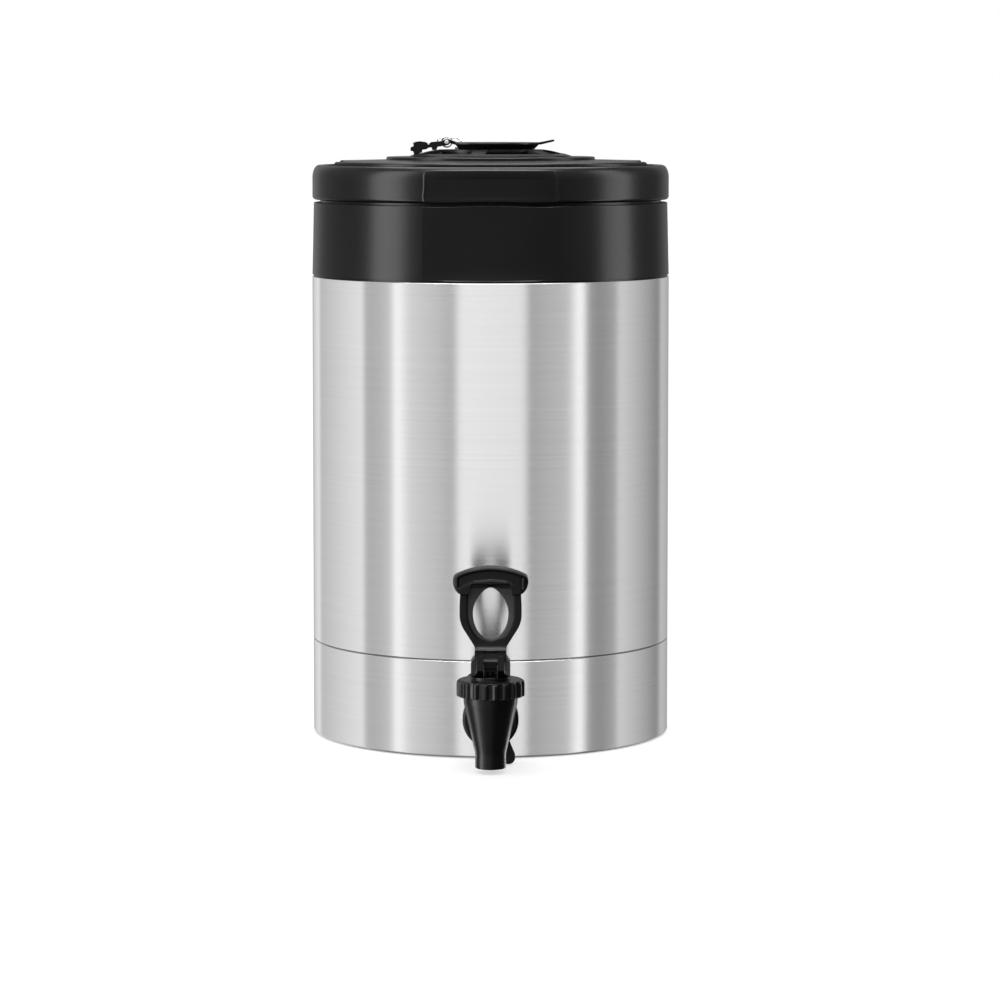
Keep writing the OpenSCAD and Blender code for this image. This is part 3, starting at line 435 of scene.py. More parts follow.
lid_group, tap_group, metal_group, soft_group = (
    bpy.data.collections.new(k) for k in ("lid mouldings", "tap mouldings", "sheet metal", "seals and foam")
)
lit_by, SLOTS = {}, {}
for group, slots in (
    (lid_group, {LID: "black_plastic"}),
    (metal_group, {BRUSHED: "brushed_steel", LINER: "bare_steel", FITTING: "bare_steel"}),
    (tap_group, {TAP: "tap_plastic", WEB: "tap_plastic"}),
    (soft_group, {RUBBER: "rubber", SILICONE: "silicone", FOAM: None, PIN: None}),
):
    for made, slot in slots.items():
        lit_by[made.name], SLOTS[made.name] = group, slot


# ---- Steel body ----


def base_cup():
    """The drawn cup: a flange turned in under the body, a rolled edge, the wall up to the groove, and the
    sleeve that centres the shell above it."""
    outer = fillet([(body_r - 10, base_lift, 0), (body_r, base_lift, 1.5), (body_r, shell_low - 0.75, 0.5),
        (body_r - 0.75, shell_low - 0.77, 0.1), (body_r - 0.85, shell_low, 0.1),
        (body_r - 0.85, sleeve_top, 0.1), (body_r - 1.65, sleeve_top, 0.1),
        (body_r - 1.65, shell_low - 8.3, 0.3), (body_r - sheet, shell_low - 9.0, 0.3),
        (body_r - sheet, base_lift + sheet, 1.4), (body_r - 10, base_lift + sheet, 0)], 10)
    return [turned(outer, 288)]


def outer_shell():
    """The shell: one sheet with its two edges eased."""
    return [turned(fillet([(body_r - sheet, shell_low, 0), (body_r, shell_low, 0.25),
        (body_r, shell_top, 0.5), (body_r - sheet, shell_top, 0)], 15), 288)]


def front_arch(a):
    """How far the parting between collar and lid lifts at an angle from the front: up by `rise` at the
    middle, down by `dip` at `low` degrees either side, and level again `away` degrees further on."""
    rise, dip, low, away = 0.28, 0.45, 17, 7
    d = np.degrees(np.abs(a))
    return np.where(d < low, rise - (rise + dip) * smooth(d / low), -dip * (1 - smooth((d - low) / away)))


PANEL = math.radians(21.6)
PAD = math.radians(20.3)
EDGES = np.concatenate([PANEL + np.array([-2e-3, 0, 2e-3]), PAD + np.linspace(-0.02, 0.02, 21)])
FRONT = even(288, np.linspace(-PANEL - 0.03, PANEL + 0.03, 120), EDGES, -EDGES)


def front_formed(profile, dip, lift):
    """A profile carried round the urn, with each point moved towards the axis by its dip, and up by its
    lift times the arch of the parting."""
    points, quads = turned(profile, FRONT)
    p = points.reshape(len(FRONT), len(profile), 3)
    p[..., 0] -= np.sin(FRONT)[:, None] * dip
    p[..., 1] += np.cos(FRONT)[:, None] * dip
    p[..., 2] += front_arch(FRONT)[:, None] * lift
    return [(p.reshape(-1, 3), quads)]


def collar():
    """The moulded collar: a slightly tapered wall with an eased top edge. In front it is flattened by
    1.5 (1 - (angle / 21.6)^2) mm between two soft corners, and its top follows the arch of the parting. An
    open groove keeps it off the steel."""
    rise = np.linspace(shell_top + 1.5, collar_top - 2.6, 12)
    wall = joined(body_r - (rise - shell_top) / (collar_top - shell_top), rise)
    head = fillet([(wall[-1][0], wall[-1][1], 0), (collar_r, collar_top, 0.5), (collar_in_r, collar_top, 0.6),
        (collar_in_r, seat, 0.2), (liner_in_r + 1.1, seat, 0.3), (liner_in_r + 1.1, seat - 4, 0.3),
        (collar_in_r, seat - 4, 0.4), (collar_in_r, shell_top - 8, 0.3), (body_r - 0.85, shell_top - 8, 0.3),
        (body_r - 1.0, shell_top - 0.5, 0), (body_r - 1.0, shell_top + 1.0, 0),
        (body_r - 0.04, shell_top + 1.0, 0.2), (body_r - 0.03, shell_top + 1.45, 0)], 12)
    profile = np.concatenate([wall[:-1], head])
    r, z = profile.T
    outside = (r > collar_in_r + 1.2) & (z > shell_top + 0.9)
    fade = unit((z - shell_top - 1.0) / 1.4) * outside
    top = unit((z - collar_top + 2.6) / 2.6) * (r > collar_in_r - 0.1)
    return front_formed(profile, 1.5 * np.clip(1 - (FRONT / PANEL) ** 2, 0, None)[:, None] * fade, top)


# ---- Lid ----


def lid_rim():
    """The rim: rolled underneath, a long soft shoulder of 3.8 by 7 mm above, a groove beside the crown and
    a hollow behind its wall. The front carries a flattened pad with rounded lower corners."""
    shoulder = circle(lid_r - 3.8, rim_top - 7, (3.8, 7), 0, 90, 31)
    low = circle(lid_r - 2, lid_z + 2, 2, -90, 0, 11)
    wall = joined(lid_r, np.linspace(lid_z + 2.2, rim_top - 7.2, 20))
    lip = rim_top - 3.2
    inner = fillet([(lid_r - 4, rim_top, 0), (crown_r + 0.5, rim_top, 0.5), (crown_r + 0.5, lip, 0.2),
        (lid_r - 6, lip + 0.8, 0.3), (lid_r - 2.4, lip - 3, 0.5), (lid_r - 2.4, lid_z + 4.4, 0.5),
        (lid_r - 4.4, lid_z + 2.4, 0.3), (plug_r - 2, lid_z + 2.4, 0), (plug_r - 2, lid_z, 0),
        (lid_r - 2, lid_z, 0)], 15)
    profile = np.concatenate([low, wall, shoulder, inner[1:-1]])
    r, z = profile.T
    face = np.arange(len(profile)) < len(low) + len(wall) + len(shoulder) - 1
    arc = np.abs(FRONT)[:, None] * lid_r
    pad_low, pad_round, splay_z = 306.4, 2.2, 316
    edge = PAD * lid_r + 0.55 * unit((splay_z - z) / 6) ** 2
    qx, qz = arc - edge + pad_round, (pad_low + pad_round) - z[None, :]
    inside = np.hypot(np.clip(qx, 0, None), np.clip(qz, 0, None)) - pad_round
    inside += np.minimum(np.maximum(qx, qz), 0)
    step = 0.5 - 0.5 * np.tanh(inside / (0.6 + 1.4 * unit((qz - qx) / 2)))
    crown = unit(1 - (FRONT / PAD) ** 2)[:, None]
    bead = 0.2 * np.exp(-(((inside - 0.7) / 0.7) ** 2)) * unit((rim_top - 1.5 - z) / 3)
    fade = unit((rim_top - 2.1 - z) / 4.4) ** 0.9
    lower = unit((lid_z + 4 - z) / 3) * (r > lid_r - 6)
    return front_formed(profile, ((0.35 + 1.3 * crown) * step * fade - bead) * face, lower)


def lid_crown():
    """The crown: a shallow cone from its eased edge up to the plateau. Two finger pockets are sunk in it at
    the sides, where every height above the pocket floor is lowered to that floor."""
    half = math.radians(22)
    side = np.concatenate([np.linspace(-half - 0.006, -half, 4), np.linspace(half, half + 0.006, 4)])
    a = even(240, side + np.pi / 2, side - np.pi / 2)
    floor = crown_edge - 12
    profile = fillet([(crown_r - 2.4, lid_z + 2.4, 0), (crown_r, lid_z + 2.4, 0.3), (crown_r, floor, 0),
        (crown_r, crown_edge, 1.5), (crown_r - 10.9, crown_edge + 0.27, 0),
        (crown_r - 11.1, crown_edge + 0.28, 0), (plateau_r, crown_top, 0.3), (plateau_r - 4, crown_top, 0),
        (plateau_r - 4, crown_top - 2.4, 0), (crown_r - 12.8, crown_edge - 2.2, 0),
        (crown_r - 13.1, crown_edge - 2.2, 0), (crown_r - 2.4, crown_edge - 2.4, 0)], 15)
    r, z = profile.T
    under = np.arange(len(profile)) > np.argmin(np.abs(r - (plateau_r - 4)) + np.abs(z - crown_top + 2.4))
    off = np.abs(np.abs(a) - np.pi / 2)
    near = unit((half + 0.006 - off) / 0.006)[:, None]
    cut = unit((r - (crown_r - 11.1)) / 0.2) * ~under
    cut_low = unit((r - (crown_r - 13.1)) / 0.3) * under
    deep = np.minimum(z, floor) * near * cut + z * (1 - near * cut)
    deep = np.where(under, np.minimum(z, floor - 2) * near * cut_low + z * (1 - near * cut_low), deep)
    return [web(joined(np.sin(a)[:, None] * r, -np.cos(a)[:, None] * r, deep))]


def brew_plate():
    """The raised plateau that carries the grille, with a rounded step down to the crown."""
    return [turned(fillet([(dome_r - 2, crown_top - 2.4, 0), (plateau_r - 4.3, crown_top - 2.4, 0.2),
        (plateau_r - 4.3, crown_top, 0), (plateau_r - 0.4, crown_top, 0.1),
        (plateau_r - 0.4, plateau - 0.3, 1.6), (dome_r + 0.4, plateau - 0.3, 0.3),
        (dome_r - 2, plateau - 0.3, 0.2)], 12), 192)]


def dome_height(r):
    """The dome's outside: a low arch that rises from its lip and flattens over the filling hole. Its height
    over the lip is rise (1 - ((r - brim) / (dome_r - brim))^1.55) outside the brim."""
    brim, rise = 29, 3.55
    return plateau + 0.25 + rise * (1 - (np.clip(r - brim, 0, None) / (dome_r - brim)) ** 1.55)


def brew_grille():
    """The grille: a polar sheet from the filling hole to the lip, its angles warped so that six ribs keep
    their width of 8 mm, with the quads between ribs left out and the sheet given a wall of 1.4 mm. A short
    neck hangs round the filling hole."""
    hole_r, near, far, rib_half = 18, 30, 42, 4
    r = np.concatenate([np.linspace(hole_r, near, 6), np.linspace(30.4, 41.6, 14),
        np.linspace(far, dome_r, 6)])
    rib = np.arcsin(rib_half / np.clip(r, near, far))
    u, v = np.linspace(-1, 1, 7), np.linspace(0, 1, 17)[1:-1]
    start = np.radians(-100 + 60 * np.arange(6))[:, None, None]
    on = start + u[None, :, None] * rib
    between = start + rib + v[None, :, None] * (np.radians(60) - 2 * rib)
    a = np.concatenate([on, between], 1).reshape(-1, len(r))
    kind = np.tile(np.arange(22) < 6, 6)
    top = joined(np.cos(a) * r, np.sin(a) * r, dome_height(r))
    points, quads = web(top, True, False)
    mid = (r[1:] + r[:-1]) / 2
    open_cell = ~kind[:, None] & (mid > near) & (mid < far)
    bottom = points.copy()
    bottom[:, 2] -= np.where(np.hypot(points[:, 0], points[:, 1]) > dome_r - 0.5, 0.9, 1.4)
    neck = fillet([(28.0, plateau, 0.2), (29.2, plateau, 0.2), (29.2, dome_top - 0.8, 0),
        (28.0, dome_top - 0.8, 0)], 30, True)
    return [sheet_solid(points, bottom, quads[~open_cell.ravel()]), turned(neck)]


def brew_funnel():
    """The funnel under the grille, down to the socket that holds the mixing tube."""
    t, low, lip = 7.5, plug_z + 4, crown_top - 2.4
    return [turned(fillet([(t + 0.05, low - 6, 0), (t + 2, low - 6, 0.4), (t + 2, low, 1),
        (dome_r - 4, lip - 2, 1), (plateau_r - 6, lip - 2, 0.3), (plateau_r - 6, lip, 0.3),
        (dome_r - 5, lip, 0.4), (t - 1, low + 1.2, 0.4), (t - 1, low, 0.2), (t + 0.05, low, 0)], 15))]


def mixing_tube():
    """The long tube from the funnel to just above the liner's floor."""
    low, high = extent("mixing_tube", Z)
    return [turned(fillet([(6.5, low, 0.3), (7.5, low, 0.3), (7.5, high, 0.1),
        (6.5, high, 0.1)], 30, True), 48)]


def lid_base():
    """The plug under the lid: a shallow cup that reaches into the liner, and the flange over the gasket."""
    low, flange, out = plug_z, liner_rim + 3, collar_in_r - 0.6
    return [turned(fillet([(9.8, low, 0.3), (plug_r, low, 1.8), (plug_r, flange, 0.4), (out, flange, 0.4),
        (out, lid_z, 0.3), (plug_r - 3, lid_z, 0.3), (plug_r - 3, low + 2.4, 0.6),
        (9.8, low + 2.4, 0.3)], 15, True), 192)]


def lid_gasket():
    """The silicone ring under the flange: two soft lips with a groove between them on its sealing face."""
    r0, r1, z0, z1 = liner_in_r + 1, extent("lid_gasket", X)[1], liner_rim, liner_rim + 3
    w = (r1 - r0) / 3
    return [turned(fillet([(r0, z0, 0.6), (r0 + w, z0, 0.5), (r0 + 1.2 * w, z0 + 0.7, 0.4),
        (r0 + 1.8 * w, z0 + 0.7, 0.4), (r0 + 2 * w, z0, 0.5), (r1, z0, 0.6), (r1, z1, 0.3),
        (r0, z1, 0.3)], 20, True), 192)]


# ---- Flip cap and hinge ----


EYE_R = 1.6


def flip_cap():
    """The cap: a disc cut straight on the hinge side. Each ring of the disc is its outline moved in by a
    set distance, so the eased edge, the dished top and the skirt beneath keep their widths round it."""
    chord = pin_x + 4.6
    corner = math.acos(chord / cap_r)
    close = corner + np.array([-0.02, 0, 0.02])
    a = even(144, close, -close)
    outline = np.where(np.abs(a) > corner, chord / np.cos(np.clip(np.abs(a), corner, np.pi)), cap_r)
    low = dome_top + 0.2
    profile = fillet([(100, cap_top - 0.3, 0), (5, cap_top - 0.3, 1), (3.2, cap_top, 1), (0, cap_top, 0.5),
        (0, cap_top - 1.2, 0.4), (0.9, cap_top - 1.3, 0.2), (3.4, low, 0.3), (4.4, low, 0.3),
        (4.4, cap_top - 1.2, 0.3), (7.5, cap_top - 1.2, 0.3), (7.5, low + 1, 0.3), (11.5, low + 1, 0.3),
        (11.5, cap_top - 1.2, 0.3), (100, cap_top - 1.2, 0)], 18)
    d, z = profile.T
    r = np.clip(outline[:, None] - d, 0, None)
    disc = web(joined(np.cos(a)[:, None] * r, np.sin(a)[:, None] * r, z), True, False)
    low_z = cap_top - 1.2
    tab = fillet([(cap_r - 4, low_z + 0.1, 0), (cap_r, low_z + 0.1, 0.5), (cap_r + 6.8, cap_top + 0.5, 0.8),
        (cap_r + 7.8, cap_top + 0.9, 0.3), (cap_r + 7.6, cap_top + 1.5, 0.4), (cap_r - 0.4, cap_top - 0.1, 2),
        (cap_r - 4, cap_top - 0.1, 0)], 15)
    shells = [disc, prism(tab, [-6.5, -2, 2, 6.5])]
    for side in (-1, 1):
        eye = circle(pin_x, pin_z, EYE_R, 100, 345, 18)
        arm = np.array([(chord + 0.2, low_z), (chord + 3, low_z), (chord + 3, cap_top - 0.05),
            (chord + 1, cap_top), (pin_x + 0.6, pin_z + 1.5)])
        shells.append(prism(np.concatenate([eye, arm]), [side * 3.55, side * 6.1]))
    return shells


def hinge_bracket():
    """The hinge bracket, cut to its side view: a foot with a stop at its end, a square block for the two
    screws, a waist, and a bar with a short leg under it that forks into an ear on each side of the spring."""
    half = extent("hinge_bracket", Y)[1]
    eye = circle(pin_x, pin_z, EYE_R, 100, -85, 12)
    under = [(-29.4, 335.9), (-30.4, 335.8), (-31.2, 334.0), (-33.0, 333.9), (-33.5, 335.5), (-35.4, 335.2),
        (-36.8, 334.3), (-39.4, 334.0)]
    foot = [(-39.6, dome_height(39.6) + 0.1), (-43.4, dome_height(43.4) + 0.1), (-43.9, 333.2),
        (-45.3, 333.4)]
    over = [(-45.4, 334.7), (-44.9, 335.3), (-43.7, 335.5), (-43.6, 337.4), (-43.0, 338.0), (-40.5, 338.3),
        (-37.3, 337.9), (-36.2, 337.1), (-35.9, 336.3), (-35.1, 336.4), (-34.6, 337.4), (-33.8, 337.9),
        (-28.2, 338.4)]
    rest = np.array(under + foot + over) + [25 + pin_x, pin_z - 338.2]
    block = np.concatenate([[(pin_x - 3.7, pin_z - 2.3)], rest[:-1], [(pin_x - 3.7, pin_z)]])
    whole = np.concatenate([eye, rest])
    ears = [prism(whole, sorted((s * (half - 2.4), s * half))) for s in (-1, 1)]
    return [prism(block, [-half + 0.05, half - 0.05])] + ears


def hinge_pin():
    """The hinge pin: a plain rod with a small peened head at each end."""
    end = extent("hinge_pin", Y)[1]
    half = [(0, -end, 0), (1.3, -end, 0.3), (1.3, 0.6 - end, 0.2), (1.2, 0.7 - end, 0)]
    return [turned(fillet(half + [(r, -y, e) for r, y, e in half[::-1]], 20), 24, (pin_x, pin_z), "y", False)]


COIL_TURNS, COIL_PITCH = 7, 0.85


def spring_tail(path, side):
    """A leg of the torsion spring: a wire along a path given from the pin, beside the coil's last turn."""
    y = side * (COIL_TURNS * COIL_PITCH / 2 + 0.05)
    return rod(np.array([(pin_x + a, y, pin_z + b) for a, b in path]), np.full(len(path), 0.38), 8)


def cap_spring():
    """The torsion spring's coil round the pin, with the leg that hooks over the bracket's bar."""
    hook = [(0.2, 2.9), (-1.6, 2.7), (-3.0, 2.0), (-4.2, 2.3), (-5.0, 1.9), (-5.3, 0.9), (-5.0, 0.1)]
    return [coil((pin_x, 0, pin_z), 2.9, 0.8, COIL_TURNS, COIL_PITCH), spring_tail(hook, -1)]


def cap_spring_leg():
    """The spring's other leg, which lies out over the cap and turns up with it."""
    leg = [(-0.6, 2.85), (1.2, 2.75), (3.2, 2.1), (5.0, 2.7), (6.2, 2.1), (7.6, 0.8), (9.1, 0.3)]
    return [spring_tail(leg, 1)]


# ---- Tap ----


def closing_coil():
    """The spring that closes the tap: six turns of 1 mm wire between the stem's collar and the diaphragm. The
    wire's height is low + 18 s with s = (t - 0.75) / 4.5 at turn t, so its end turns lie flat."""
    r, low, wire_r = 6.5, 29.5, 0.5
    t = np.linspace(0, 6, 145)
    s = unit((t - 0.75) / 4.5)
    path = joined(r * np.cos(TURN * t), tap_y + r * np.sin(TURN * t), low + 18 * s)
    return [rod(path, np.full(len(path), wire_r), 10)]


def shank():
    """The threaded shank: its ground thread inside the urn, the flange on the seal and the plain spigot.
    The thread is a sine of the height, 1.5 mm from crest to crest."""
    inner, seal = extent("shank", Y)[1], -body_r - 2.5
    y = np.linspace(seal + 0.1, inner - 0.6, 300)
    thread = joined(8 - 0.35 * (0.5 - 0.5 * np.cos(TURN * y / 1.5)), y)
    head = fillet([(4.5, seal - 13, 0.3), (10.4, seal - 13, 0.5), (10.4, seal - 3, 0.3),
        (12.4, seal - 3, 0.4), (12.4, seal, 0.3), (8, seal, 0)], 20)
    tail = fillet([(thread[-1][0], inner - 0.4, 0), (7.3, inner, 0.2), (4.5, inner, 0.3),
        (4.5, seal - 12.9, 0)], 20)
    return [turned(np.concatenate([head[:-1], thread, tail[1:]]), 64, (0, shank_z), "y")]


def faucet_body():
    """The tap's body: a short round lip, a cone that widens upwards to the throat with soft bends at its two
    ends, and a tail to the shank."""
    n, b = extent("faucet_body", Z)[0], bonnet_z - 0.15
    profile = fillet([(5.9, n, 0.2), (8.4, n, 0.5), (8.3, n + 7.6, 16), (14.55, b - 3.6, 12), (14.7, b, 0.3),
        (15.0, b, 0), (15.4, b + 0.6, 0.2), (15.4, b + 5.9, 0.2), (8.2, b + 5.9, 0.2), (8.2, 18.5, 0.5),
        (5.5, 18.5, 0.4), (5.5, n + 0.4, 0.3)], 3, True)
    out = washer_front
    tail = fillet([(0, tap_y + 3, 0), (7.5, tap_y + 3, 0), (7.5, out - 2.2, 0.8), (10.2, out - 2, 0.3),
        (10.2, out, 0.3), (4.5, out, 0.3), (4.5, tap_y + 6, 0.2), (0, tap_y + 6, 0)], 20)
    return [turned(profile, 96, (0, tap_y)), turned(tail, 64, (0, shank_z), "y")]


def bonnet():
    """The bonnet: a cap whose radius grows by a rounded rib twenty times round, rounded over at the top,
    with a plain boss on it. Ribs fade into the core over the last millimetres above and below."""
    count, low, top = 20, bonnet_z, bonnet_z + 8.85
    a = even(400)
    phase = (a * count / TURN) % 1
    rib = smooth(1.35 - np.abs((phase - 0.5) * 2) * 1.9)
    skin = fillet([(15.5, low, 0), (17.2, low, 0), (18.5, low, 0.9), (18.5, top, 2.4), (10.6, top, 0.2),
        (10.6, boss_top, 0.5), (3.6, boss_top, 0.2), (3.6, top - 2, 0), (15.5, top - 2, 0.3)], 10)
    r, z = skin.T
    deep = 1.15 * unit((z - low) / 0.6 + 0.3) * unit((top - 0.15 - z) / 1.1) * (r > 15.9)
    p = r[None, :] - deep * (1 - rib)[:, None]
    return [web(joined(np.sin(a)[:, None] * p, tap_y - np.cos(a)[:, None] * p, z))]


def wing_nut():
    """The wing nut: a rounded hub and two flat wings, one low on each side, with full round ends."""
    front, back = extent("wing_nut", Y)
    hub = fillet([(7.8, front, 0.3), (15.3, front, 1.6), (15.3, back, 1.2), (10.5, back, 0.3),
        (10.5, front + 2.4, 0.2), (7.8, front + 2.2, 0)], 15, True)
    shells = [turned(hub, 96, (0, shank_z), "y")]
    wing = np.concatenate([[(13.2, 3.4), (13.2, -3.4)], circle(23, 0, 3, -90, 90, 13)])
    for turn in (-65, 115):
        c, s = math.cos(math.radians(turn)), math.sin(math.radians(turn))
        line = joined(wing[:, 0] * c - wing[:, 1] * s, wing[:, 0] * s + wing[:, 1] * c + shank_z)
        middle = (front + back) / 2
        shells.append(prism(line, [middle - 3.5, middle + 3.5]))
    return shells


def cam_outline():
    """The handle's side view below the crease, as (y, z): the heel, the cam, the front of the legs and the
    crease. The cam is the involute of a circle of 5.73 mm, which lifts the stem evenly with the angle."""
    base_r = 5.73
    a = np.radians(np.linspace(0, 54, 14))
    drop = 6.85 + base_r * a
    cam = joined(-base_r * np.cos(a) - drop * np.sin(a), base_r * np.sin(a) - drop * np.cos(a))
    back = [(4.0, 7.1), (7.0, 2.0), (7.0, -5.85), (6.0, -6.85)]
    front = [(-10.73, 4.6), (-5.4, 7.1)]
    return np.concatenate([back, cam, front]) + [tap_y, handle_pin_z]


def handle_legs():
    """Two legs beside the slot with cheeks that flare out at their feet, and the crossbar set back between
    them. A cheek's outline is the leg's, lowered to a line that falls from the neck to the cheek's full width
    and cut back in front as it widens, so that its face looks sideways."""
    side = cam_outline()
    shells = []
    for s in (-1, 1):
        stations = []
        for x, top, front in ((3.85, 99, 20), (7.3, 99, 20), (7.5, 99, 11.6), (8.5, 99, 9.8),
            (8.51, 63.8, 9.8), (9.6, 62.4, 7.9), (10.55, 60.6, 6.2)):
            shape = joined(np.maximum(side[:, 0], tap_y - front), np.minimum(side[:, 1], top))
            stations.append((s * x, shape))
        shells.append(prism(side, stations if s > 0 else stations[::-1], "x"))
    y, z = tap_y, handle_pin_z
    bar = np.array([(y - 5.7, z + 1.0), (y - 5.7, z + 5.1), (y + 4.6, z + 5.1), (y + 4.0, z + 7.1),
        (y - 4.6, z + 6.9), (y - 7.8, z + 4.9), (y - 8.4, z + 3.2), (y - 9.3, z + 1.95), (y - 9.3, z + 1.0)])
    shells.append(prism(bar, [-4.0, 4.0], "x"))
    return shells


def egg(a):
    """The finger hole's edge round its centre: an ellipse whose upper half narrows towards the top."""
    v = np.clip(np.sin(a), 0, None)
    return joined(9.5 * np.cos(a) * (1 - 0.25 * v * v), 14.0 * np.sin(a))


def handle_edges():
    """The handle's outer edge, the finger hole's edge and the band between them, by angle round the hole:
    a narrow neck, a straight run outwards and a long arc to the widest place under the paddle."""
    cz = crease_z + 19.6
    half = fillet([(8.5, crease_z - 0.2, 0), (8.5, crease_z + 1.9, 5), (16.7, crease_z + 14.8, 28),
        (16.7, crease_z + 24, 12), (16.1, 103.2, 0)], 3)
    line = np.concatenate([[(0, half[0, 1])], half, [(0, half[-1, 1])]]) - [0, cz]
    run = np.concatenate([[0], np.cumsum(np.hypot(*np.diff(line, axis=0).T))])
    even_run = np.union1d(run, np.linspace(0, run[-1], 240))
    line = np.stack([np.interp(even_run, run, line[:, k]) for k in (0, 1)], -1)
    corners = np.searchsorted(even_run, [run[1], run[-2]])
    angle, reach = np.arctan2(line[:, 1], line[:, 0]), np.hypot(*line.T)
    a = np.unique(np.round(np.concatenate([np.linspace(-np.pi / 2, np.pi / 2, 91), angle[corners]]), 6))
    a = np.concatenate([a, np.pi - a[::-1][1:-1]])
    outer = joined(np.cos(a), np.sin(a)) * np.interp(np.where(a > np.pi / 2, np.pi - a, a), angle, reach)[:,
        None]
    hole = egg(a)
    gap = np.hypot(*(outer - hole).T)
    foot = unit((crease_z + 5 - cz - outer[:, 1]) / 5)
    band = np.minimum(4.3, gap * 0.62)
    band += (gap * 0.9 - band) * foot
    return cz, outer, hole, (outer - hole) / gap[:, None], band


def handle_loop(half):
    """A section carried round the finger hole, closed by its mirror image behind. Each corner is (edge,
    inset, depth): the hole's edge (0), the band's inner edge (1) or the outer edge (2), moved outwards by
    inset, at a depth along Y."""
    cz, outer, hole, toward, band = handle_edges()
    edges = np.stack([hole, outer - toward * band[:, None], outer])
    p = []
    for edge, inset, depth in half + [(e, i, -d) for e, i, d in half[::-1]]:
        low, share = int(edge), edge % 1
        here = edges[low] if share == 0 else edges[low] * (1 - share) + edges[low + 1] * share
        x, z = (here + toward * inset).T
        ledge = 2.25 * unit(1 - (z + cz - crease_z) / 4.4) ** 2 * (depth < 0)
        p.append(joined(x, tap_y + depth - ledge, z + cz))
    return [web(np.stack(p, 1))]


def handle_band():
    """The deep band round the handle's edge, its four edges eased, with the paddle on it. Its foot curves
    forward to a ledge."""
    half = [(1, 0.0, -3.4), (1, 0.5, -3.95), (1, 0.8, -4.0), *((1 + k / 14, 0, -4.0) for k in range(3, 13)),
            (2, -0.35, -4.0), (2, -0.12, -3.9), (2, 0.0, -3.6)]
    return handle_loop(half) + paddle()


def handle_web():
    """The thin web between the band and the finger hole, rounded at the hole's edge."""
    half = [(0, 0.0, -1.2), (0, 0.2, -1.75), (0, 0.7, -2.0), (1, 0.6, -2.0)]
    return handle_loop(half)


def fall(s):
    """How far a quarter circle is below its top at a share of its width: 1 - sqrt(1 - (1 - s)^2)."""
    return 1 - np.sqrt(1 - (1 - s) ** 2)


def paddle():
    """The thumb paddle: a section carried across. Its top arches, its blunt ends turn down in an ellipse and
    its underside steps over the ring. In front a sunk panel lies in a raised border and slopes out again
    towards a lip like an eyebrow."""
    end = 20.25
    x = np.concatenate([np.linspace(0, 18, 60), [17.2, 17.9], np.linspace(10.2, 11.8, 9),
        18 + 2.25 * np.sin(np.linspace(0, np.pi / 2, 16))])
    x = np.unique(np.round(np.concatenate([-x, x]), 5))
    d = np.abs(x)
    high = 112 - 5.2 * (d / end) ** 2 - 1.6 * (np.clip(d - 18.8, 0, None) / 1.45) ** 3
    lobe = 104.5 - 7.5 * np.sqrt(unit(1 - (np.clip(d - 14, 0, None) / 6.3) ** 2))
    middle = 102.6
    low = middle + (lobe - middle) * smooth((d - 10.4) / 1.4)
    deep = 6.5 - 1.5 * (np.clip(d - 15.5, 0, None) / 4.75) ** 2.2
    brow = np.interp(d, [0, 9, 14, 17.7, end], [105.4, 104.6, 102.4, 100.6, 99.8])
    z = low[:, None] + (high - low)[:, None] * np.linspace(0, 1, 48)
    border = 0.5 - 0.5 * np.tanh((z - (high[:, None] - 1.5)) / 0.25)
    over = 0.5 + 0.5 * np.tanh((z - brow[:, None]) / 0.4)
    sides = 0.5 - 0.5 * np.tanh((d[:, None] - 17.4) / 0.3)
    sunk = 1.1 * border * over * sides
    roll = unit((z - low[:, None]) / 1.0)
    edge = unit((high[:, None] - z) / 0.9)
    y = -deep[:, None] + sunk + fall(roll) + 0.9 * fall(edge)
    front = joined(x[:, None], tap_y + y, z)
    zb = high[:, None] - (high - low)[:, None] * np.linspace(0, 1, 12)
    rb = np.minimum(unit((high[:, None] - zb) / 1.2), unit((zb - low[:, None]) / 1.2))
    back = joined(x[:, None], tap_y + deep[:, None] - 1.2 * fall(rb), zb)
    return [capped(np.concatenate([front, back], 1))]


# ---- Liner ----


def liner():
    """The liner's wall and its hanging flange."""
    return [turned(fillet([(liner_in_r, floor_z + 3, 0), (liner_in_r + sheet, floor_z + 3, 0),
        (liner_in_r + sheet, liner_rim - sheet, 0.6), (extent("liner", X)[1], liner_rim - sheet, 0.3),
        (extent("liner", X)[1], liner_rim, 0.3), (liner_in_r, liner_rim, 1.0)], 20, True), 192)]


def liner_floor():
    """The liner's dished floor with the four studs welded under it."""
    low = extent("liner_floor", Z)[0]
    dish = fillet([(0, floor_z - sheet, 0), (liner_in_r + sheet, floor_z - sheet, 3.8),
        (liner_in_r + sheet, floor_z + 3, 0), (liner_in_r, floor_z + 3, 0), (liner_in_r, floor_z, 3),
        (0, floor_z, 0)], 12)
    shells = [turned(dish, 192, ring=False)]
    stud = fillet([(2.05, floor_z - 1.6, 0), (2.05, low, 0.2), (5, low, 0.2), (5, floor_z - 0.5, 0),
        (0, floor_z - 0.5, 0), (0, floor_z - 1.6, 0)], 20)
    for k in range(4):
        t = math.radians(45 + 90 * k)
        shells.append(turned(stud, 32, (55 * math.cos(t), 55 * math.sin(t))))
    return shells


def bottom_plate():
    """The bottom plate, with the foot ring's groove and eased edges."""
    low, high = extent("bottom_plate", Z)
    out, foot = extent("bottom_plate", X)[1], extent("foot_ring", X)[1] + 0.05
    return [turned(fillet([(0, low, 0), (foot - 6, low, 0.2), (foot - 6, low + 1.2, 0), (foot, low + 1.2, 0),
        (foot, low, 0.2), (out, low, 0.4), (out, high, 0.3), (0, high, 0)], 20), 192, ring=False)]


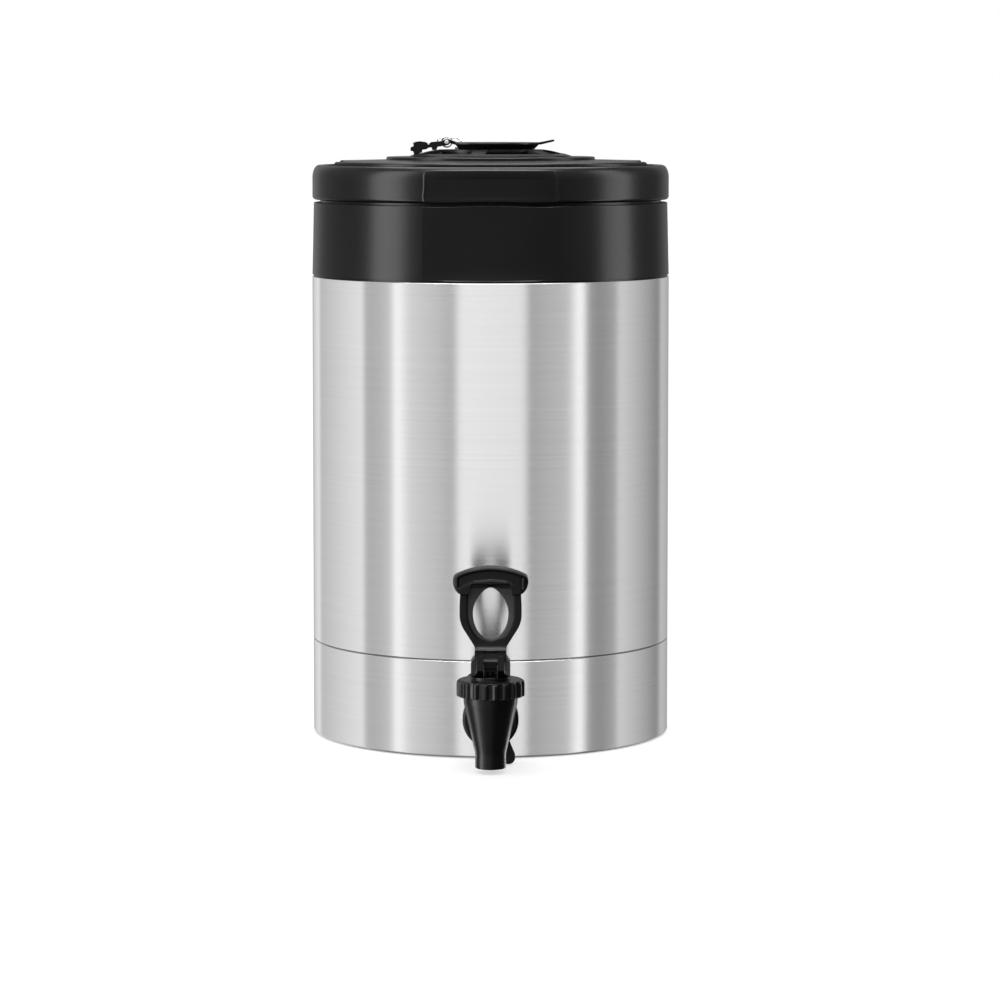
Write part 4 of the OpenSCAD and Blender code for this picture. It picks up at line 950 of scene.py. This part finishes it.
def foot_ring():
    """The rubber foot: a ring with a rounded tread."""
    low, high, out = *extent("foot_ring", Z), extent("foot_ring", X)[1]
    return [turned(fillet([(out - 5.9, low, 0.7), (out, low, 0.7), (out, high, 0.2),
        (out - 5.9, high, 0.2)], 20, True), 192)]


DRESSED = (
    ("urn_base_cup", base_cup, BRUSHED, "urn", "base_cup"),
    ("urn_shell", outer_shell, BRUSHED, "urn", "outer_shell"),
    ("urn_collar", collar, LID, "urn", "collar"),
    ("urn_liner", liner, LINER, "urn", "liner"),
    ("urn_liner_floor", liner_floor, LINER, "urn", "liner_floor"),
    ("urn_bottom_plate", bottom_plate, LID, "urn", "bottom_plate"),
    ("urn_foot", foot_ring, RUBBER, "urn", "foot_ring"),
    ("lid_rim_skin", lid_rim, LID, "lid", "lid_rim"),
    ("lid_crown_skin", lid_crown, LID, "lid", "lid_crown"),
    ("lid_plateau", brew_plate, LID, "lid", "brew_plate"),
    ("lid_grille", brew_grille, LID, "lid", "brew_grille", 0.3),
    ("lid_funnel", brew_funnel, LID, "lid", "brew_funnel"),
    ("lid_mixing_tube", mixing_tube, LID, "lid", "mixing_tube"),
    ("lid_plug", lid_base, LID, "lid", "lid_base"),
    ("lid_seal_ring", lid_gasket, SILICONE, "lid", "lid_gasket"),
    ("cap_disc", flip_cap, LID, "cap", "flip_cap", 0.15),
    ("hinge_block", hinge_bracket, LID, "lid", "hinge_bracket", 0.25),
    ("hinge_rod", hinge_pin, FITTING, "lid", "hinge_pin"),
    ("hinge_spring", cap_spring, FITTING, "lid", "cap_spring"),
    ("hinge_spring_leg", cap_spring_leg, FITTING, "cap"),
    ("tap_shank", shank, FITTING, "urn", "shank"),
    ("tap_body", faucet_body, TAP, "urn", "faucet_body"),
    ("tap_bonnet", bonnet, TAP, "bonnet", "bonnet"),
    ("tap_wing_nut", wing_nut, TAP, "wing_nut", "wing_nut", 0.7),
    ("tap_handle_ring", handle_band, TAP, "handle", "handle"),
    ("tap_handle_web", handle_web, WEB, "handle"),
    ("tap_handle_legs", handle_legs, TAP, "handle", None, 0.45),
)
for name, shape, *rest in DRESSED:
    piece(name, shape(), *rest)

closing_spring = piece("tap_closing_spring", closing_coil(), FITTING, "urn", "valve_spring")
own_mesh(closing_spring)

CARRIED = {
    FITTING: ["shank_nut", "bracket_screws", "lid_screws", "base_screws"],
    TAP: ["stem"],
    PIN: ["handle_pin"],
    SILICONE: [
        "collar_seal", "shank_outer_seal", "shank_inner_seal", "faucet_washer", "stem_diaphragm", "seat_cup",
        "cap_seal",
    ],
    FOAM: ["insulation", "lid_foam"],
}
for made, names in CARRIED.items():
    for part in (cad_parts[name] for name in names):
        part.data.materials.clear()
        part.data.materials.append(made)
        lit_by[made.name].objects.link(part)


# ---- Camera, floor and light ----

bpy.context.scene.view_settings.view_transform = "Standard"

camera = placed("camera", bpy.data.cameras.new("camera"))
bpy.context.scene.camera = camera
camera_distance, camera_height, camera_pitch = 2.0863, 0.3551, 4.6
camera.location = (0.0, -camera_distance, camera_height)
camera.rotation_euler = (math.radians(90 - camera_pitch), 0, 0)
camera.data.sensor_width = 36.0
camera.data.lens = 131.1
camera.data.shift_x, camera.data.shift_y = 0.0094, -0.0947
camera.data.clip_start, camera.data.clip_end = 0.05, 60.0


PANELS = (
    (-180, 0.46), (-166, 0.46), (-165, 0.60), (-147, 0.90), (-143, 0.56), (-90.5, 0.94), (-88, 0.48),
    (-75, 0.58), (-68, 0.70), (-63, 1.26), (-54, 0.79), (-22.5, 0.48), (-22, 0.99), (23, 0.90), (23.5, 0.40),
    (51, 0.60), (60.5, 1.35), (65.5, 0.42), (74, 0.31), (89, 0.43), (90, 0.77), (138, 0.26), (145, 0.60),
    (168, 0.40), (170, 0.37), (180, 0.37),
)


def sky():
    """The studio's walls: soft panels by compass direction, the same at every height, so that an upright
    cylinder shows them as upright bands, over a darker ground. The camera sees plain white."""
    world = bpy.data.worlds.new("studio")
    bpy.context.scene.world = world
    world.use_nodes = True
    tree = world.node_tree
    tree.nodes.clear()
    way = add(tree, "SeparateXYZ", {0: add(tree, "TexCoord").outputs["Generated"]}).outputs
    turn = sums(tree, "ARCTAN2", way["X"], sums(tree, "MULTIPLY", way["Y"], -1.0))
    share = sums(tree, "ADD", sums(tree, "DIVIDE", turn, TURN), 0.5)
    ramp = add(tree, "ValToRGB", {"Fac": share})
    stops = ramp.color_ramp.elements
    stops[0].position, stops[1].position = 0.0, 1.0
    for angle, _ in PANELS[1:-1]:
        stops.new((angle + 180) / 360)
    for stop, (_, strength) in zip(stops, PANELS):
        stop.color = (strength, strength, strength, 1)
    darker = spread(tree, way["Z"], (-0.75, -0.45), (0.3, 1.0))
    around = add(tree, "Background", {"Color": ramp.outputs["Color"], "Strength": darker})
    seen = add(tree, "Background", {"Color": (1, 1, 1, 1)})
    paths = add(tree, "LightPath").outputs
    mix = add(tree, "MixShader", {0: paths["Is Camera Ray"], 1: around.outputs[0], 2: seen.outputs[0]})
    add(tree, "OutputWorld", {"Surface": mix.outputs[0]})


def ground():
    """A wide pale floor that keeps the shadow. It is lit a little for the camera, so that it runs out to
    white, and mirror rays pass through it to the studio's walls."""
    points, quads = turned([(0, 0), (0.6, 0), (1.4, 0), (3.0, 0), (9.0, 0)], 48, ring=False)
    mesh = bpy.data.meshes.new("floor")
    keys, groups = tidy_shell(points, quads)
    mesh.from_pydata(keys, [], [f for group in groups for f in group.tolist()])
    floor = placed("floor", mesh)
    m = bpy.data.materials.new("Pale floor")
    m.use_nodes = True
    tree = m.node_tree
    tree.nodes.clear()
    paths = add(tree, "LightPath").outputs
    diffuse = add(tree, "BsdfDiffuse", {"Color": (0.82, 0.82, 0.82, 1)})
    glow = add(tree, "Emission", {"Color": (0.55, 0.55, 0.55, 1), "Strength": paths["Is Camera Ray"]})
    pale = add(tree, "AddShader", {0: diffuse.outputs[0], 1: glow.outputs[0]})
    clear = add(tree, "BsdfTransparent")
    mix = add(tree, "MixShader", {0: paths["Is Glossy Ray"], 1: pale.outputs[0], 2: clear.outputs[0]})
    add(tree, "OutputMaterial", {"Surface": mix.outputs[0]})
    mesh.materials.append(m)


LAMP_AIM = np.array([0.0, 0.0, 0.3])


def lamp(group, name, direction, distance, height, size, power):
    """A soft panel lamp at a compass angle from the front, facing the urn's middle, that lights one group."""
    data = bpy.data.lights.new(name, "AREA")
    data.shape, data.size, data.size_y, data.energy = "RECTANGLE", size[0], size[1], power
    obj = placed(name, data)
    a = math.radians(direction)
    obj.location = (math.sin(a) * distance, -math.cos(a) * distance, height)
    obj.rotation_euler = Vector(LAMP_AIM - np.array(obj.location)).to_track_quat("-Z", "Y").to_euler()
    lit = bpy.data.collections.new(name)
    lit.children.link(group)
    obj.light_linking.receiver_collection = lit


LAMPS = (
    (lid_group, "strip_left", -67, 1.5, 0.3, (0.62, 2.6), 140),
    (lid_group, "strip_right", 86, 1.5, 0.3, (0.62, 2.6), 80),
    (lid_group, "bank_over", 180, 0.7, 1.9, (1.6, 1.0), 80),
    (lid_group, "bank_front", 0, 0.75, 1.9, (1.8, 0.6), 215),
    (tap_group, "tap_left", -68, 1.5, 0.3, (0.5, 2.6), 190),
    (tap_group, "tap_middle", -46, 1.5, 0.3, (0.8, 2.6), 50),
    (tap_group, "tap_front", -15, 1.5, 0.1, (1.1, 2.2), 22),
    (tap_group, "tap_high", 0, 1.05, 1.9, (1.2, 0.35), 140),
    (tap_group, "tap_behind", 138, 1.5, 0.3, (0.5, 2.6), 50),
    (tap_group, "tap_behind_left", -140, 1.5, 0.3, (0.5, 2.6), 24),
    (tap_group, "tap_over", 180, 0.7, 1.9, (1.6, 1.0), 60),
    (tap_group, "tap_top", 0, 0.02, 2.2, (1.4, 1.4), 80),
    (metal_group, "bank_top", 0, 0.02, 2.2, (2.4, 2.4), 110),
)
sky()
ground()
for row in LAMPS:
    lamp(*row)
